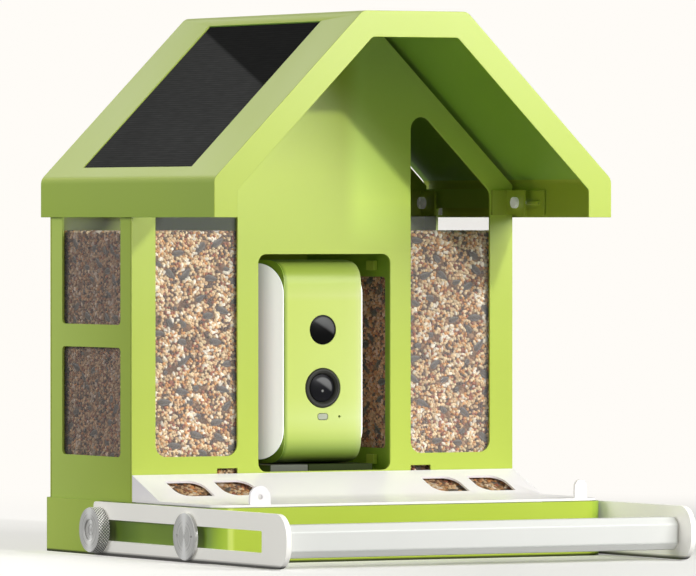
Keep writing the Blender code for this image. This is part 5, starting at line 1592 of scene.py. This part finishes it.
@dataclass
class CameraModule:
    """The camera: casing, cover, lens and motion sensor."""

    casing_edge: float = 0.0008
    cover_edge: float = 0.0006
    barrel_edge: float = 0.0003
    board_edge: float = 0.0002
    battery_edge: float = 0.0004
    steps: int = 96
    bore: float = 0.0088
    lens_rim: float = 0.0083
    lens_dome: float = 0.0014
    lens_lead: float = 0.0019
    # The radius of the lens's painted reflection.
    lens_reflection_radius: float = 0.0074
    rim_gap: float = 0.0001
    sensor_height: float = 0.0012
    bezel: tuple[tuple[float, float], ...] = (
        (0.0, -0.0010),
        (0.0003, -0.0004),
        (0.0008, -0.0001),
        (0.0014, 0.0),
        (0.0019, -0.0002),
        (0.0021, -0.0007),
        (0.0024, -0.0007),
    )

    def build(self) -> None:
        """Build the camera's pieces."""
        skin("camera_casing", CASING, Body.CAMERA, self.casing_edge)
        skin("camera_cover", CAMERA_GREEN, Body.CAMERA, self.cover_edge)
        self.build_ring()
        self.build_lens()
        self.build_sensor()
        skin("lens_barrel", BLACK, Body.CAMERA, self.barrel_edge)
        skin("status_window", PALE_WINDOW, Body.CAMERA, self.barrel_edge)
        skin("camera_board", CIRCUIT, Body.CAMERA, self.board_edge)
        skin("camera_battery", BATTERY, Body.CAMERA, self.battery_edge)

    def build_front(self, name: str, node: str, profile: list, finish: Finish, lead: float = 0.0) -> None:
        """Turn a profile about a node's own axis and stand it in the node's place.

        Args:
            name: The piece's name.
            node: The CAD node it stands for.
            profile: Radius and height, the front of the node being zero.
            finish: Its finish.
            lead: How far the profile's zero lies before the node's front.
        """
        low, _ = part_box(node)
        centre = middle(node)
        origin = (centre.x, low.y - lead, centre.z)
        surface = facing_front(turned_surface(profile, self.steps), origin)
        add_piece(name, surface, finish, Body.CAMERA, [node])

    def build_ring(self) -> None:
        """Build the bezel of the lens: rounded outside, with a step and a cone down to the bore."""
        low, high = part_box("lens_ring")
        outer, depth = (high.x - low.x) / 2, high.y - low.y
        bore, chamfer = self.bore, 0.0004
        back = [(bore, -depth), (outer - chamfer, -depth), (outer, -depth + chamfer)]
        front = [(outer - inset, height) for inset, height in self.bezel]
        cone = [(bore + 0.0002, -0.0016), (bore, -0.0022), (bore, -depth)]
        self.build_front("lens_bezel", "lens_ring", back + front + cone, BEZEL)

    def dome(self, radius: float, height: float, skirt: float) -> list[tuple[float, float]]:
        """Return the profile of a dome: a circular arc down to its rim, then a skirt and a flat back.

        Args:
            radius: The rim's radius.
            height: The height of the dome over its rim.
            skirt: The depth of the wall behind the rim.

        Returns:
            Radius and height, from the back's middle to the dome's top.
        """
        ball = (radius**2 + height**2) / (2 * height)
        angle = np.linspace(math.asin(radius / ball), 0, 14)
        arc = [(ball * math.sin(a), ball * math.cos(a) - ball) for a in angle]
        return [(0.0, -height - skirt), (radius, -height - skirt)] + arc

    def build_lens(self) -> None:
        """Build the lens glass as a dome that comes just out of its barrel."""
        low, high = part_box("lens_glass")
        centre = middle("lens_glass")
        radius, back, lead = (high.x - low.x) / 2, low.y - high.y - self.lens_lead, self.lens_lead
        neck = [(0.0, back), (radius, back), (radius, -lead + self.rim_gap)]
        profile = neck + self.dome(self.lens_rim, self.lens_dome, lead - self.lens_dome - self.rim_gap)[1:]
        finish = replace(LENS, centre=(centre.x, centre.z), radius=self.lens_reflection_radius)
        self.build_front("lens_front_glass", "lens_glass", profile, finish, lead)

    def build_sensor(self) -> None:
        """Build the motion sensor's window as a low dome."""
        low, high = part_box("sensor_window")
        centre = middle("sensor_window")
        radius = (high.x - low.x) / 2
        profile = self.dome(radius, self.sensor_height, high.y - low.y - self.sensor_height)
        finish = replace(SENSOR, centre=(centre.x, centre.z), radius=radius)
        self.build_front("sensor_dome", "sensor_window", profile, finish)


@dataclass
class Fasteners:
    """The steel nuts, screws, studs and pins."""

    edge: float = 0.0002
    steps: int = 480
    rim_rows: int = 44
    knurl_depth: float = 0.00038
    knurl_radius: float = 0.0137
    knurl_reach: tuple[float, float] = (0.0042, 0.0106)
    bore: float = 0.0033
    hub: float = 0.00625
    flange_foot: float = 0.0036
    face_depth: float = 0.0012

    def build(self) -> None:
        """Build the thumb nuts and the skins of the other steel pieces."""
        for side, sign in SIDES:
            self.build_thumb_nut(side, sign)
            for part in ("guide_screw", "guide_nut", "stud", "pivot_pin"):
                self.steel_skin(f"{side}_{part}", Body.HOUSE)
            self.steel_skin(f"{side}_pivot_plate", Body.ROOF)
            skin(f"{side}_lock_screw", LOCK_STEEL, Body(f"{side}_lock"), self.edge)

    def steel_skin(self, node: str, body: Body) -> None:
        """Build the skin of a steel piece, with rings round the piece's own axis."""
        skin(node, replace(STEEL, name=f"{node}_steel", centre=tuple(middle(node))), body, self.edge)

    def knurl(self, radius: np.ndarray, height: np.ndarray, angle: np.ndarray) -> np.ndarray:
        """Return the relief of a diamond knurl: the lower of two crossing sets of helical ridges.

        Args:
            radius: The radius of each corner.
            height: Its place along the axis.
            angle: Its angle.

        Returns:
            What to add to the radius.
        """
        turn, climb = angle / math.tau * KNURL_COUNT, height / KNURL_PITCH
        one, other = (1 - 2 * np.abs(phase % 1 - 0.5) for phase in (turn + climb, turn - climb))
        start, end = self.knurl_reach
        rim = (radius > self.knurl_radius) & (height > start) & (height < end)
        return np.where(rim, -self.knurl_depth * np.maximum(1 - one, 1 - other), 0.0)

    def build_thumb_nut(self, side: str, sign: float) -> None:
        """Build a thumb nut: a hub, a flange with a knurled rim, and a bore round the stud.

        Args:
            side: Which nut.
            sign: Minus one on the left, one on the right.
        """
        node = f"{side}_thumb_nut"
        low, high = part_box(node)
        centre = middle(node)
        radius, length = (high.z - low.z) / 2, high.x - low.x
        bore, hub, foot, chamfer = self.bore, self.hub, self.flange_foot, 0.0007
        heights = np.linspace(self.knurl_reach[0], length - chamfer, self.rim_rows)
        profile = [
            (bore, 0.0),
            (hub, 0.0),
            (hub, 0.0034),
            (0.0068, foot),
            (radius - chamfer, foot),
            *((radius, height) for height in heights),
            (radius - 0.0006, length),
            (0.0100, length - 0.0001),
            (0.0072, length),
            (0.0066, length - 0.0003),
            (0.0064, length - self.face_depth),
            (bore, length - self.face_depth),
            (bore, 0.0),
        ]
        origin = (low.x if sign > 0 else high.x, centre.y, centre.z)
        surface = along_x(turned_surface(profile, self.steps, self.knurl), origin, sign)
        finish = replace(STEEL, name=f"{side}_nut_steel", centre=origin, knurled=True)
        add_piece(f"{side}_knurled_nut", surface, finish, Body(f"{side}_clamp"), [node])


def main() -> None:
    """Build the studio and the feeder's pieces."""
    logging.basicConfig(level=logging.INFO, format="%(name)s: %(message)s")
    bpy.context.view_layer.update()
    bpy.context.scene.view_settings.view_transform = "Standard"
    for effect in (build_surface_grain, build_turning_marks, build_radial_sheen, build_diamond_knurl):
        effect()
    for part in (Studio(), House(), Roof(), Perch(), Tray(), SeedStore(), CameraModule(), Fasteners()):
        part.build()
        log.info("built %s", type(part).__name__)


if __name__ == "__main__":
    main()
